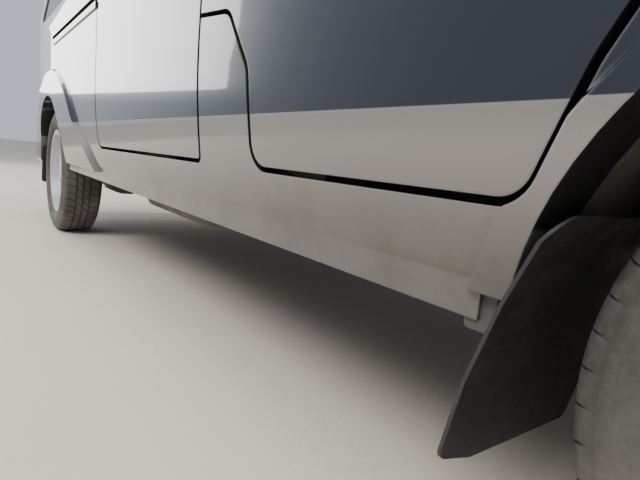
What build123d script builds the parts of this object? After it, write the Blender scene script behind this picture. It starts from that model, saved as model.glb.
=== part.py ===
from build123d import *
import math
import os

# Microvan, goods kind: front towards -Y, the van's left at +X, +Z up, the ground at Z = 0.
# All sizes are in millimetres and degrees.

# Driving sizes
LENGTH = 4000.0
WIDTH = 1620.0
HEIGHT = 1880.0
WHEELBASE = 2700.0
FRONT_OVERHANG = 620.0
HALF_WIDTH = WIDTH / 2
FRONT_AXLE_Y = -LENGTH / 2 + FRONT_OVERHANG
REAR_AXLE_Y = FRONT_AXLE_Y + WHEELBASE
NOSE_Y = -LENGTH / 2
TAIL_Y = LENGTH / 2
PANEL_GAP = 8.0
SEAT_GAP = 0.3

# Wheels
TYRE_R = 280.0
TYRE_W = 165.0
RIM_FLANGE_R = 190.0
RIM_W = 140.0
RIM_WALL = 5.0
HUB_R = 32.0
HUB_BORE_R = 20.0
HUB_IN_X = -20.0
BEAD_R = 178.0
TYRE_BEAD_X = 64.0
RIM_WELL_R = 152.0
DISC_X = 26.0
VENTS = 10
VENT_PITCH_R = 121.0
VENT_L = 34.0
VENT_W = 20.0
SPARE_Y = 1683.0
WHEEL_INBOARD = 53.0
WHEEL_X = HALF_WIDTH - WHEEL_INBOARD - TYRE_W / 2
REAR_WHEEL_X = 712.0
AXLE_Z = TYRE_R

# Cross-section of the body, seen from the front
SILL_Z = 335.0
FULL_WIDTH_Z = 620.0
SHOULDER_Z = 860.0
CANT_Z = 1800.0
LOWER_SIDE_R = 1350.0
SHOULDER_R = 620.0
TUMBLEHOME = 10.5
SILL_CORNER_R = 24.0
CANT_R = 150.0

# Side view of the body
COWL_Y = -1490.0
COWL_Z = 1010.0
BONNET_NOSE_Y = -1900.0
BONNET_NOSE_Z = 880.0
NOSE_FACE_Y = -1950.0
HEADER_Y = -1060.0
HEADER_Z = 1775.0
REAR_TOP_Y = 1850.0
REAR_TOP_Z = 1830.0
REAR_FACE_Y = 1975.0
BELT_Z = 1000.0
WINDSCREEN_R = 1750.0
PLAN_PROUD = 8.0
TAPER_START_Y = 1100.0

# Walls, each as the depth from the outer skin
GLASS_DEPTH = 4.0
GLASS_T = 5.0
DOOR_WALL = 40.0
SIDE_WALL = 52.0
PILLAR_WALL = 96.0
ROOF_WALL = 34.0
END_WALL = 45.0
LID_WALL = 30.0

# Windows, screen and lids
WINDOW_TOP_Z = 1630.0
SCREEN_TOP = 800.0
GATE_HALF = 655.0
GATE_TOP_HALF = 545.0
GATE_BOTTOM_Z = 590.0
GATE_TOP_Z = 1775.0
TAIL_DEPTH = 600.0
BONNET_HALF = 600.0
BONNET_FRONT_Y = -1893.0
BONNET_REAR_Y = -1530.0
BONNET_LOW_Z = 800.0
BONNET_EDGE_Z = 876.0
NOSE_SHOULDER_R = 130.0
ROOF_SPLIT_Z = 1745.0
ROOF_SWAGES = [-400, -200, 0, 200, 400]
SWAGE_W = 34.0
SWAGE_DEPTH = 4.0
SWAGE_FRONT_Y = -560.0
SWAGE_REAR_Y = 1450.0

# Hinges: the pin lies this far below the skin and this far in from the panel's hinged edge
HINGE_DEPTH = 14.0
HINGE_SETBACK = 18.0
HINGE_PIN_R = 5.0
HINGE_PIN_HALF = 34.0
HINGE_PLATE_T = 14.0
HINGE_BOSS_R = 8.0
HINGE_REACH = 62.0
HINGE_RELIEF_R = 28.5

# Arches
ARCH_R = 338.0
FRONT_ARCH_R = 325.0
FLANGE_START = 352.0
LINER_T = 6.0
LINER_INNER_X = 400.0
REAR_LINER_INNER_X = 545.0

TOWER_X = 525.0
TOWER_R = 88.0
TOWER_LOW_Z = 560.0
TOWER_TOP_Z = 855.0
TOP_MOUNT_X = 500.0
ROD_R = 10.0

# Underbody
RAIL_X = 500.0
SPRING_FRONT_Y = 800.0
SPRING_REAR_Y = 1850.0
SPRING_EYE_Z = 265.0
FIREWALL_Y = -1278.0
COWL_SHELF_Y = -1517.0
FIREWALL_TOP_Z = 925.0
FLOOR_END_Y = 1925.0

TANK_LOW_X = -560.0
TANK_HIGH_X = -150.0
TANK_FRONT_Y = 75.0
TANK_REAR_Y = 690.0
TANK_LOW_Z = 208.0
TANK_TOP_Z = 392.0
SHAFT_Z = 300.0
SHAFT_FRONT_Y = 60.5
SHAFT_REAR_Y = 1120.0
STUB_R = HUB_BORE_R - SEAT_GAP
SPRING_MID_Z = 232.0
LEAF_T = 9.0
LEAF_W = 50.0
LEAVES = 4
EYE_R = 20.0
PIN_R = 8.0
CHEEK_T = 6.0
TUBE_R = 36.0
PIPE_R = 21.0
BALL_X = 640.0
BALL_Z = 170.0
BALL_R = 14.0
STUD_R = 9.0
ARM_Z = 138.0
STRUT_LOW_X = 556.0
STRUT_LOW_Z = 405.0
STRUT_R = 24.0
SHIELD_R = 112.0

DRIVER_X = 365.0
DASH_BACK_Y = FIREWALL_Y + SEAT_GAP
STEER_Y = -930.0
STEER_Z = 985.0
STEER_R = 185.0
SEAT_W = 470.0
SEAT_BASE_H = 70.0
SEAT_RAKE = 17.0
FLAP_T = 4.0

# Door lines, along the van
DOOR_BOTTOM_Z = 416.0
DOOR_TOP_Z = 1700.0
FRONT_DOOR_FRONT_Y = -1190.0
FRONT_DOOR_REAR_Y = -420.0
SLIDE_REAR_Y = 395.0

DOOR_HINGE_ZS = [700.0, 900.0]
RAIL_Z = 856.0
RAIL_H = 16.0
RAIL_END_Y = 1240.0
FLARE_PROUD = 13.0
FRONT_FLARE_PROUD = 8.0
FLARE_ROOT = 45.0
FLARE_SLOPE = 35.0
FRONT_FLARE_W = 56.0
FLARE_CREST = [
    (-900, 330), (-813, 402), (-743, 437), (-628, 506), (-542, 582), (-407, 668), (-260, 728), (-80, 762),
    (120, 752), (300, 690),
]
RAIL_COVER_LOW_Z = 829.0
RAIL_COVER_TOP_Z = 886.0
RAIL_COVER_PROUD = 5.0
HANDLE_Z = 905.0
HANDLE_L = 150.0
HANDLE_H = 62.0
FRONT_HANDLE_Y = -530.0
SLIDE_HANDLE_Y = -300.0
FILLER_Y = 1150.0
FILLER_Z = 960.0
PLATE_HALF = 265.0
PLATE_LOW_Z = 668.0
PLATE_TOP_Z = 806.0
PLATE_FLOOR_Y = 1961.0
SILL_INNER_X = 690.0
FLANGE_X = 779.0
FLANGE_Z = 308.0
NOSE_SPLIT_X = 603.0
BUMPER_TOP_Z = 565.0
GRILLE_HALF = 380.0
GRILLE_LOW_Z = 690.0
GRILLE_TOP_Z = 790.0
GRILLE_BAR_H = 10.0
GRILLE_BARS = 3
BUMPER_WALL = 28.0
FOG_X = 560.0
FOG_Z = 372.0
FOG_R = 48.0
FOG_BACK_Y = -1952.0
BUMPER_HALF = 806.0
BUMPER_LEDGE_Y = 1928.0
BUMPER_BACK_Y = -1690.0
REAR_BUMPER_BACK_Y = 1660.0
BUMPER_FACE_EDGE_Y = 1700.0
BUMPER_EDGE_R = 22.0
FRONT_BUMPER_LOW_Z = 245.0
REAR_BUMPER_LOW_Z = 300.0
HEADLAMP_IN_X = 470.0
HEADLAMP_LOW_Z = 655.0
HEADLAMP_TOP_Z = 822.0
HEADLAMP_BACK_Y = -1790.0
TAIL_LAMP_LOW_Z = 845.0
TAIL_LAMP_TOP_Z = 1290.0
TAIL_LAMP_FRONT_Y = 1890.0
BONNET_HINGE_X = 480.0
GATE_HINGE_X = 380.0

# Floor
FOOTWELL_Z = 400.0
SEAT_BOX_Z = 610.0
LOAD_FLOOR_Z = 520.0
FLOOR_LIP_Z = 586.0
FLOOR_T = 10.0
SEAT_BOX_FRONT_Y = -760.0
SEAT_BOX_REAR_Y = -250.0
TOE_Y = -1170.0

os.makedirs("parts", exist_ok=True)
TALL = HEIGHT * 1.3


def save(piece, name):
    """Label one finished piece and write it as its own file."""
    piece.label = name
    export_step(piece, f"parts/{name}.step")


def body_section(inset):
    """Cross-section of the hull: sill, full side, shoulder, tumblehome, cant rail and roof crown."""
    drop = math.degrees(math.asin((FULL_WIDTH_Z - SILL_Z) / LOWER_SIDE_R))
    sill_x = HALF_WIDTH - LOWER_SIDE_R * (1 - math.cos(math.radians(drop)))
    lean = math.radians(TUMBLEHOME)
    shoulder_x = HALF_WIDTH - SHOULDER_R * (1 - math.cos(lean))
    shoulder_top = SHOULDER_Z + SHOULDER_R * math.sin(lean)
    cant_x = shoulder_x - (CANT_Z - shoulder_top) * math.tan(lean)
    with BuildSketch(Plane.XZ) as section:
        with BuildLine():
            Line((0, SILL_Z), (sill_x, SILL_Z))
            CenterArc((HALF_WIDTH - LOWER_SIDE_R, FULL_WIDTH_Z), LOWER_SIDE_R, 0, -drop)
            Line((HALF_WIDTH, FULL_WIDTH_Z), (HALF_WIDTH, SHOULDER_Z))
            CenterArc((HALF_WIDTH - SHOULDER_R, SHOULDER_Z), SHOULDER_R, 0, TUMBLEHOME)
            Line((shoulder_x, shoulder_top), (cant_x, CANT_Z))
            mirror(about=Plane.YZ)
            ThreePointArc((cant_x, CANT_Z), (0, HEIGHT), (-cant_x, CANT_Z))
        make_face()
        cant = [v for v in section.vertices() if abs(v.Y - CANT_Z) < 1]
        fillet(cant, CANT_R)
        if inset:
            offset(amount=-inset, kind=Kind.INTERSECTION)
        else:
            fillet(section.vertices().group_by(Axis.Y)[0].filter_by(lambda v: abs(v.X) > 1), SILL_CORNER_R)
    return section.sketch


def plan_outline(inset):
    """Plan of the body from above: bowed nose, rounded corners and a slight taper to the tail."""
    with BuildSketch(Plane.XY) as plan:
        with BuildLine():
            ThreePointArc((-740, NOSE_FACE_Y + 75), (0, NOSE_FACE_Y), (740, NOSE_FACE_Y + 75))
            Polyline(
                (740, NOSE_FACE_Y + 75),
                (HALF_WIDTH + PLAN_PROUD, NOSE_FACE_Y + 320),
                (HALF_WIDTH + PLAN_PROUD, TAPER_START_Y),
                (HALF_WIDTH - 24, REAR_FACE_Y - 25),
            )
            mirror(about=Plane.YZ)
            ThreePointArc(
                (HALF_WIDTH - 24, REAR_FACE_Y - 25), (0, REAR_FACE_Y), (-HALF_WIDTH + 24, REAR_FACE_Y - 25)
            )
        make_face()
        fillet([v for v in plan.vertices() if v.Y < NOSE_FACE_Y + 100], 130)
        fillet([v for v in plan.vertices() if v.Y > REAR_FACE_Y - 60], 85)
        if inset:
            offset(amount=-inset, kind=Kind.INTERSECTION)
    return plan.sketch


def lower_profile(inset):
    """Side view of the lower body: nose, bonnet and tail up to the belt."""
    with BuildSketch(Plane.YZ) as profile:
        with BuildLine():
            Polyline(
                (NOSE_FACE_Y + 60, SILL_Z),
                (NOSE_FACE_Y, 480),
                (NOSE_FACE_Y, 760),
                (BONNET_NOSE_Y, BONNET_NOSE_Z),
                (COWL_Y, COWL_Z),
                (REAR_FACE_Y - 4, COWL_Z),
                (REAR_FACE_Y, 760),
                (REAR_FACE_Y - 30, SILL_Z),
                close=True,
            )
        make_face()
        fillet([v for v in profile.vertices() if v.X < BONNET_NOSE_Y + 5 and v.Y > 700], 55)
        if inset:
            offset(amount=-inset, kind=Kind.INTERSECTION)
    return profile.sketch


def upper_profile(inset):
    """Side view of the greenhouse: screen, header, roof and raked tail."""
    with BuildSketch(Plane.YZ) as profile:
        with BuildLine():
            Polyline(
                (COWL_Y - 30, COWL_Z - 110),
                (COWL_Y - 15, COWL_Z),
                (HEADER_Y - 15, HEADER_Z),
                (HEADER_Y + 330, HEIGHT + 2),
                (REAR_TOP_Y - 260, HEIGHT + 2),
                (REAR_TOP_Y, REAR_TOP_Z),
                (REAR_FACE_Y - 4, COWL_Z),
                (REAR_FACE_Y - 4, COWL_Z - 110),
                close=True,
            )
        make_face()
        fillet([v for v in profile.vertices() if abs(v.Y - HEADER_Z) < 1], 160)
        fillet([v for v in profile.vertices() if v.Y > HEIGHT], 600)
        fillet([v for v in profile.vertices() if abs(v.Y - REAR_TOP_Z) < 1], 60)
        if inset:
            offset(amount=-inset, kind=Kind.INTERSECTION)
    return profile.sketch


SCREEN_ANGLE = math.degrees(math.atan2(HEADER_Y - COWL_Y, HEADER_Z - COWL_Z))
SCREEN_PLANE = Plane(
    origin=(0, COWL_Y, COWL_Z),
    x_dir=(1, 0, 0),
    z_dir=(0, math.sin(math.radians(SCREEN_ANGLE)), math.cos(math.radians(SCREEN_ANGLE))),
)


SCREEN_FACE = Plane(
    origin=(0, COWL_Y, COWL_Z),
    x_dir=(1, 0, 0),
    z_dir=(0, -math.cos(math.radians(SCREEN_ANGLE)), math.sin(math.radians(SCREEN_ANGLE))),
)


def screen_drum(inset):
    """The big leaning cylinder whose surface is the bowed windscreen."""
    with BuildPart() as drum:
        with BuildSketch(SCREEN_PLANE):
            with Locations((0, WINDSCREEN_R)):
                Circle(WINDSCREEN_R - inset)
        extrude(amount=LENGTH, both=True)
    return drum.part


NOSE_ANGLE = math.atan2(COWL_Z - BONNET_NOSE_Z, COWL_Y - BONNET_NOSE_Y)
NOSE_PLANE = Plane(
    origin=(0, COWL_Y, COWL_Z), x_dir=(1, 0, 0), z_dir=(0, math.cos(NOSE_ANGLE), math.sin(NOSE_ANGLE))
)


def nose_section(inset):
    """Cross-section along the bonnet's slope, which rounds the fenders' shoulders."""
    edge = HALF_WIDTH + PLAN_PROUD
    with BuildSketch(NOSE_PLANE) as section:
        with BuildLine():
            Polyline((-edge, LENGTH), (-edge, 0), (edge, 0), (edge, LENGTH), close=True)
        make_face()
        fillet([v for v in section.vertices() if abs(v.Y) < 1], NOSE_SHOULDER_R)
        if inset:
            offset(amount=-inset, kind=Kind.INTERSECTION)
    return section.sketch


def hull(side, top, end):
    """The whole body as one solid, drawn in by a wall at the sides, the top and the ends."""
    with BuildPart() as lower:
        extrude(body_section(side), amount=LENGTH, both=True)
        extrude(lower_profile(end), amount=WIDTH, both=True, mode=Mode.INTERSECT)
        extrude(plan_outline(end), amount=TALL, mode=Mode.INTERSECT)
        extrude(nose_section(end), amount=LENGTH, both=True, mode=Mode.INTERSECT)
    with BuildPart() as upper:
        extrude(body_section(side), amount=LENGTH, both=True)
        extrude(upper_profile(top), amount=WIDTH, both=True, mode=Mode.INTERSECT)
        extrude(plan_outline(end), amount=TALL, mode=Mode.INTERSECT)
        add(screen_drum(top), mode=Mode.INTERSECT)
    with BuildPart() as whole:
        add(lower.part)
        add(upper.part)
    return whole.part


def outline(points, radii, grow=0.0, plane=Plane.YZ):
    """A closed outline of straight runs with rounded corners, drawn on a plane."""
    with BuildSketch(plane) as face:
        with BuildLine():
            Polyline(*points, close=True)
        make_face()
        for (across, up), radius in zip(points, radii):
            if radius:
                corner = [v for v in face.vertices() if abs(v.X - across) + abs(v.Y - up) < 0.01]
                fillet(corner, radius)
        if grow:
            offset(amount=grow, kind=Kind.INTERSECTION)
    return face.sketch


def side_block(face, near=350.0, far=HALF_WIDTH + 80):
    """The outline as a block on the left-hand side, from near to far off the middle."""
    with BuildPart() as block:
        extrude(face, amount=far)
        with BuildSketch(Plane.YZ):
            Rectangle(3 * LENGTH, 3 * LENGTH)
        extrude(amount=near, mode=Mode.SUBTRACT)
    return block.part


def box(low, high):
    """A plain block between two corners, used as a cutter or a simple bar."""
    with BuildPart() as block:
        with Locations(tuple((a + b) / 2 for a, b in zip(low, high))):
            Box(*[b - a for a, b in zip(low, high)])
    return block.part


def disc(y, z, radius, near, far):
    """A cylinder across the van at one axle, from near to far off the middle."""
    with BuildPart() as drum:
        with BuildSketch(Plane.YZ.offset(near)):
            with Locations((y, z)):
                Circle(radius)
        extrude(amount=far - near)
    return drum.part


def carve(stock, keep=None, cuts=(), extra=()):
    """Keep what of the stock lies in a block, cut pieces out of it and add others."""
    with BuildPart() as piece:
        add(stock)
        if keep is not None:
            add(keep, mode=Mode.INTERSECT)
        for cutter in cuts:
            add(cutter, mode=Mode.SUBTRACT)
        for lump in extra:
            add(lump)
    return piece.part


def twin(part):
    """The same piece on the van's right-hand side."""
    with BuildPart() as other:
        add(part)
        mirror(about=Plane.YZ, mode=Mode.REPLACE)
    return other.part


def both(part):
    """One node of two like pieces, left and right."""
    with BuildPart() as pair:
        add(part)
        mirror(about=Plane.YZ)
    return pair.part


# The body as solids drawn in by each wall, and the shells between them
outer = hull(0, 0, 0)
glass_face = hull(GLASS_DEPTH, GLASS_DEPTH, GLASS_DEPTH)
glass_back = hull(GLASS_DEPTH + GLASS_T, GLASS_DEPTH + GLASS_T, GLASS_DEPTH + GLASS_T)
door_inner = hull(DOOR_WALL, ROOF_WALL, LID_WALL)
inner = hull(SIDE_WALL, ROOF_WALL, END_WALL)
pillar_inner = hull(PILLAR_WALL, ROOF_WALL, END_WALL)
body_shell = carve(outer, cuts=[inner])
door_shell = carve(outer, cuts=[door_inner])
pillar_shell = carve(inner, cuts=[pillar_inner])
pane_shell = carve(glass_face, cuts=[glass_back])

# Outlines seen from the side, as (along the van, height) with a corner radius each
front_door_points = [
    (-1063, DOOR_BOTTOM_Z), (-619, DOOR_BOTTOM_Z), (-607, 560), (-535, 652),
    (FRONT_DOOR_REAR_Y, 664), (FRONT_DOOR_REAR_Y, DOOR_TOP_Z), (-827, DOOR_TOP_Z),
    (FRONT_DOOR_FRONT_Y, 1077), (FRONT_DOOR_FRONT_Y, 665), (-1107, 520),
]
front_door_radii = [38, 42, 50, 40, 6, 35, 30, 90, 120, 60]
slide_door_points = [
    (FRONT_DOOR_REAR_Y, DOOR_BOTTOM_Z), (SLIDE_REAR_Y, DOOR_BOTTOM_Z),
    (SLIDE_REAR_Y, DOOR_TOP_Z), (FRONT_DOOR_REAR_Y, DOOR_TOP_Z),
]
slide_door_radii = [12, 40, 35, 35]
front_window_points = [
    (-1110, BELT_Z), (-490, BELT_Z), (-490, WINDOW_TOP_Z), (-795, WINDOW_TOP_Z), (-1110, 1100),
]
front_window_radii = [35, 35, 40, 45, 45]
slide_window_points = [
    (FRONT_DOOR_REAR_Y + 80, BELT_Z), (SLIDE_REAR_Y - 70, BELT_Z),
    (SLIDE_REAR_Y - 70, WINDOW_TOP_Z), (FRONT_DOOR_REAR_Y + 80, WINDOW_TOP_Z),
]
quarter_window_points = [
    (SLIDE_REAR_Y + 95, BELT_Z), (1765, BELT_Z), (1700, WINDOW_TOP_Z), (SLIDE_REAR_Y + 95, WINDOW_TOP_Z),
]
window_radii = [40, 40, 40, 40]
half_gap = PANEL_GAP / 2

front_door_face = outline(front_door_points, front_door_radii, -half_gap)
front_door_hole = side_block(outline(front_door_points, front_door_radii, half_gap), 560)
slide_door_face = outline(slide_door_points, slide_door_radii, -half_gap)
slide_door_hole = side_block(outline(slide_door_points, slide_door_radii, half_gap), 560)
front_window_hole = side_block(outline(front_window_points, front_window_radii))
slide_window_hole = side_block(outline(slide_window_points, window_radii))
quarter_window_hole = side_block(outline(quarter_window_points, window_radii))
front_pane = side_block(outline(front_window_points, front_window_radii, -SEAT_GAP))
slide_pane = side_block(outline(slide_window_points, window_radii, -SEAT_GAP))
quarter_pane = side_block(outline(quarter_window_points, window_radii, -SEAT_GAP))

# Screen and tailgate outlines
screen_points = [(-712, 28), (712, 28), (585, SCREEN_TOP), (-585, SCREEN_TOP)]
with BuildPart() as screen_hole_block:
    extrude(outline(screen_points, [70, 70, 90, 90], 0, SCREEN_FACE), amount=400, both=True)
with BuildPart() as screen_pane_block:
    extrude(outline(screen_points, [70, 70, 90, 90], -SEAT_GAP, SCREEN_FACE), amount=400, both=True)
TAIL_FACE = Plane(origin=(0, 1500, 0), x_dir=(-1, 0, 0), z_dir=(0, 1, 0))
gate_points = [
    (-GATE_HALF, GATE_BOTTOM_Z), (GATE_HALF, GATE_BOTTOM_Z), (GATE_HALF, BELT_Z + 60),
    (GATE_TOP_HALF, GATE_TOP_Z), (-GATE_TOP_HALF, GATE_TOP_Z), (-GATE_HALF, BELT_Z + 60),
]
gate_radii = [30, 30, 200, 60, 60, 200]
gate_window_points = [
    (-GATE_HALF + 75, BELT_Z + 20), (GATE_HALF - 75, BELT_Z + 20),
    (GATE_TOP_HALF - 60, WINDOW_TOP_Z), (-GATE_TOP_HALF + 60, WINDOW_TOP_Z),
]
gate_window_radii = [50, 50, 50, 50]


def tail_block(points, radii, grow=0.0):
    """An outline seen from behind, as a block through the tail."""
    with BuildPart() as block:
        extrude(outline(points, radii, grow, TAIL_FACE), amount=TAIL_DEPTH)
    return block.part


gate_hole = tail_block(gate_points, gate_radii, half_gap)
gate_keep = tail_block(gate_points, gate_radii, -half_gap)
gate_window_hole = tail_block(gate_window_points, gate_window_radii)
gate_pane = tail_block(gate_window_points, gate_window_radii, -SEAT_GAP)

# Bonnet, seen from above
bonnet_points = [
    (-BONNET_HALF, BONNET_REAR_Y), (-BONNET_HALF, BONNET_FRONT_Y),
    (BONNET_HALF, BONNET_FRONT_Y), (BONNET_HALF, BONNET_REAR_Y),
]


def bonnet_block(grow):
    """The bonnet's outline as a block, its front edge cut on the circle that it swings in."""
    with BuildPart() as block:
        extrude(outline(bonnet_points, [30, 60, 60, 30], grow, Plane.XY.offset(BONNET_LOW_Z)), amount=400)
        swing = math.hypot(BONNET_FRONT_Y - bonnet_pivot_y, BONNET_EDGE_Z - bonnet_pivot_z)
        add(disc(bonnet_pivot_y, bonnet_pivot_z, swing + grow, -HALF_WIDTH, HALF_WIDTH), mode=Mode.INTERSECT)
    return block.part


def hinge_plane(pivot, out, along):
    """Local frame of one hinge: X points out through the skin, Z along the pin."""
    return Plane(origin=pivot, x_dir=out, z_dir=along)


def hinge_leaf(frame, reach):
    """The carrier's plate and pin: a pin through the knuckle on a plate that comes from inside."""
    with BuildPart() as leaf:
        with BuildSketch(frame.offset(-HINGE_PLATE_T / 2)):
            Circle(HINGE_BOSS_R)
            with Locations((-reach / 2, 0)):
                Rectangle(reach, 2 * HINGE_BOSS_R - 2)
        extrude(amount=HINGE_PLATE_T)
        with BuildSketch(frame.offset(-HINGE_PIN_HALF)):
            Circle(HINGE_PIN_R)
        extrude(amount=2 * HINGE_PIN_HALF)
    return leaf.part


def hinge_pocket(frame):
    """What the swinging panel leaves free: the plate's sweep and the pin's bore."""
    with BuildPart() as pocket:
        with BuildSketch(frame.offset(-HINGE_PLATE_T / 2 - PANEL_GAP)):
            Circle(HINGE_BOSS_R + 1.5)
            with Locations((-100 + HINGE_BOSS_R / 2, HINGE_BOSS_R + 6 - 50)):
                Rectangle(200 + HINGE_BOSS_R, 100)
        extrude(amount=HINGE_PLATE_T + 2 * PANEL_GAP)
        with BuildSketch(frame.offset(-HINGE_PIN_HALF - SEAT_GAP)):
            Circle(HINGE_PIN_R + SEAT_GAP)
        extrude(amount=2 * (HINGE_PIN_HALF + SEAT_GAP))
    return pocket.part


# Hinge places
door_pivot_x = HALF_WIDTH - HINGE_DEPTH
door_pivot_y = FRONT_DOOR_FRONT_Y + half_gap + HINGE_SETBACK
door_hinges = [hinge_plane((door_pivot_x, door_pivot_y, z), (1, 0, 0), (0, 0, 1)) for z in DOOR_HINGE_ZS]
bonnet_pivot_y = BONNET_REAR_Y - half_gap - HINGE_SETBACK
bonnet_pivot_z = BONNET_NOSE_Z + (bonnet_pivot_y - BONNET_NOSE_Y) * math.tan(NOSE_ANGLE) - HINGE_DEPTH
bonnet_out = (0, -math.sin(NOSE_ANGLE), math.cos(NOSE_ANGLE))
bonnet_hinges = [
    hinge_plane((x, bonnet_pivot_y, bonnet_pivot_z), bonnet_out, (1, 0, 0))
    for x in (-BONNET_HINGE_X, BONNET_HINGE_X)
]
gate_rake = math.atan2(REAR_FACE_Y - 4 - REAR_TOP_Y, REAR_TOP_Z - COWL_Z)
gate_pivot_z = GATE_TOP_Z - half_gap - HINGE_SETBACK
gate_pivot_y = REAR_TOP_Y + (REAR_TOP_Z - gate_pivot_z) * math.tan(gate_rake) - HINGE_DEPTH
gate_out = (0, math.cos(gate_rake), math.sin(gate_rake))
gate_hinges = [
    hinge_plane((x, gate_pivot_y, gate_pivot_z), gate_out, (-1, 0, 0)) for x in (-GATE_HINGE_X, GATE_HINGE_X)
]


def handle_pocket(y):
    """The scoop behind a pull handle, cut into a door's skin."""
    low, top = HANDLE_Z - HANDLE_H / 2, HANDLE_Z + HANDLE_H / 2
    front, rear = y - HANDLE_L / 2, y + HANDLE_L / 2
    corners = [(front, low), (rear, low), (rear, top), (front, top)]
    return side_block(outline(corners, [22] * 4), HALF_WIDTH - 16)


def handle_grip(y):
    """The pull itself, a bar across the scoop that stands just proud of the skin."""
    half = HANDLE_L / 2 + 6
    with BuildPart() as grip:
        add(box((HALF_WIDTH - 12, y - half, HANDLE_Z - 12), (HALF_WIDTH + 4, y + half, HANDLE_Z + 14)))
        fillet(grip.faces().sort_by(Axis.X)[-1].edges(), 6)
    return grip.part


# Front door, with its glass and mirror
front_door = carve(
    door_shell,
    side_block(front_door_face, 560),
    [front_window_hole, handle_pocket(FRONT_HANDLE_Y)] + [hinge_pocket(frame) for frame in door_hinges],
    [handle_grip(FRONT_HANDLE_Y)],
)
save(front_door, "front_door_left")
save(twin(front_door), "front_door_right")
front_glass = carve(pane_shell, front_pane)
save(front_glass, "front_glass_left")
save(twin(front_glass), "front_glass_right")

with BuildPart() as mirror_pod:
    with BuildSketch(Plane.XZ.offset(1135)):
        with Locations((880, 1130)):
            RectangleRounded(120, 190, 35)
    with BuildSketch(Plane.XZ.offset(1075)):
        with Locations((878, 1130)):
            RectangleRounded(150, 215, 40)
    loft()
    add(box((770, -1145, 1045), (860, -1117, 1075)))
    add(outer, mode=Mode.SUBTRACT)
save(mirror_pod.part, "mirror_left")
save(twin(mirror_pod.part), "mirror_right")

# Sliding door: fixed here, held by its roller arm in the rail on the quarter
slot_y = [SLIDE_REAR_Y + half_gap, RAIL_END_Y]
roller_half = RAIL_H / 2 - SEAT_GAP
slide_roller = box(
    (HALF_WIDTH - 30, SLIDE_REAR_Y - 60, RAIL_Z - roller_half),
    (HALF_WIDTH - 14, SLIDE_REAR_Y + 55, RAIL_Z + roller_half),
)
sliding_door = carve(
    door_shell,
    side_block(slide_door_face, 560),
    [slide_window_hole, handle_pocket(SLIDE_HANDLE_Y)],
    [slide_roller, handle_grip(SLIDE_HANDLE_Y)],
)
save(sliding_door, "sliding_door_left")
save(twin(sliding_door), "sliding_door_right")
side_glass = carve(pane_shell, quarter_pane, [], [carve(pane_shell, slide_pane)])
save(both(side_glass), "side_glass")

# Body side: fender, pillars, sill, quarter and tail pillar in one pressing
front_arch = disc(FRONT_AXLE_Y, AXLE_Z, FRONT_ARCH_R, 480, HALF_WIDTH + 60)
rear_arch = disc(REAR_AXLE_Y, AXLE_Z, ARCH_R, 480, HALF_WIDTH + 60)
side_keep = carve(
    box((SILL_INNER_X, -2100, SILL_Z - 10), (HALF_WIDTH + 60, 2100, 430)),
    extra=[
        box((NOSE_SPLIT_X, -2100, 429), (HALF_WIDTH + 60, 2100, 1050)),
        box((540, COWL_Y - 60, 1049), (HALF_WIDTH + 60, 2100, ROOF_SPLIT_Z)),
    ],
)
pillar_blocks = [
    box((560, FRONT_DOOR_FRONT_Y - 70, 385), (HALF_WIDTH, FRONT_DOOR_FRONT_Y + 45, 1080)),
    box((560, FRONT_DOOR_REAR_Y - 75, 385), (HALF_WIDTH, FRONT_DOOR_REAR_Y + 45, ROOF_SPLIT_Z)),
    box((560, SLIDE_REAR_Y - 35, 385), (HALF_WIDTH, SLIDE_REAR_Y + 60, ROOF_SPLIT_Z)),
]
arch_clear = disc(FRONT_AXLE_Y, AXLE_Z, FRONT_ARCH_R + LINER_T, 480, HALF_WIDTH + 60)
pillars = [carve(pillar_shell, block, [arch_clear]) for block in pillar_blocks]
hinge_leaves = [hinge_leaf(frame, HINGE_REACH) for frame in door_hinges]
with BuildPart() as hinge_relief:
    with BuildSketch(Plane.XY.offset(DOOR_BOTTOM_Z)):
        with Locations((door_pivot_x, door_pivot_y)):
            Circle(HINGE_RELIEF_R)
    extrude(amount=BELT_Z - DOOR_BOTTOM_Z)
nose_cut = box((0, -2100, SILL_Z - 20), (HALF_WIDTH + 60, FRONT_AXLE_Y - 300, BUMPER_TOP_Z))
tail_cut = box((0, REAR_AXLE_Y + 300, SILL_Z - 20), (HALF_WIDTH + 60, 2100, BUMPER_TOP_Z))
rail_slot = box(
    (HALF_WIDTH - 34, slot_y[0] - 5, RAIL_Z - RAIL_H / 2), (HALF_WIDTH + 20, slot_y[1], RAIL_Z + RAIL_H / 2)
)


def flare(region, proud):
    """A soft plateau on the side: the section grown outwards inside a region with sloping edges."""
    with BuildPart() as swell:
        extrude(body_section(-proud), amount=LENGTH, both=True)
        with BuildPart(mode=Mode.INTERSECT):
            extrude(region, amount=2 * FLARE_ROOT, taper=FLARE_SLOPE)
        add(box((0, -2200, -600), (1000, 2200, SILL_Z)), mode=Mode.SUBTRACT)
        add(inner, mode=Mode.SUBTRACT)
    return swell.part


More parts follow.
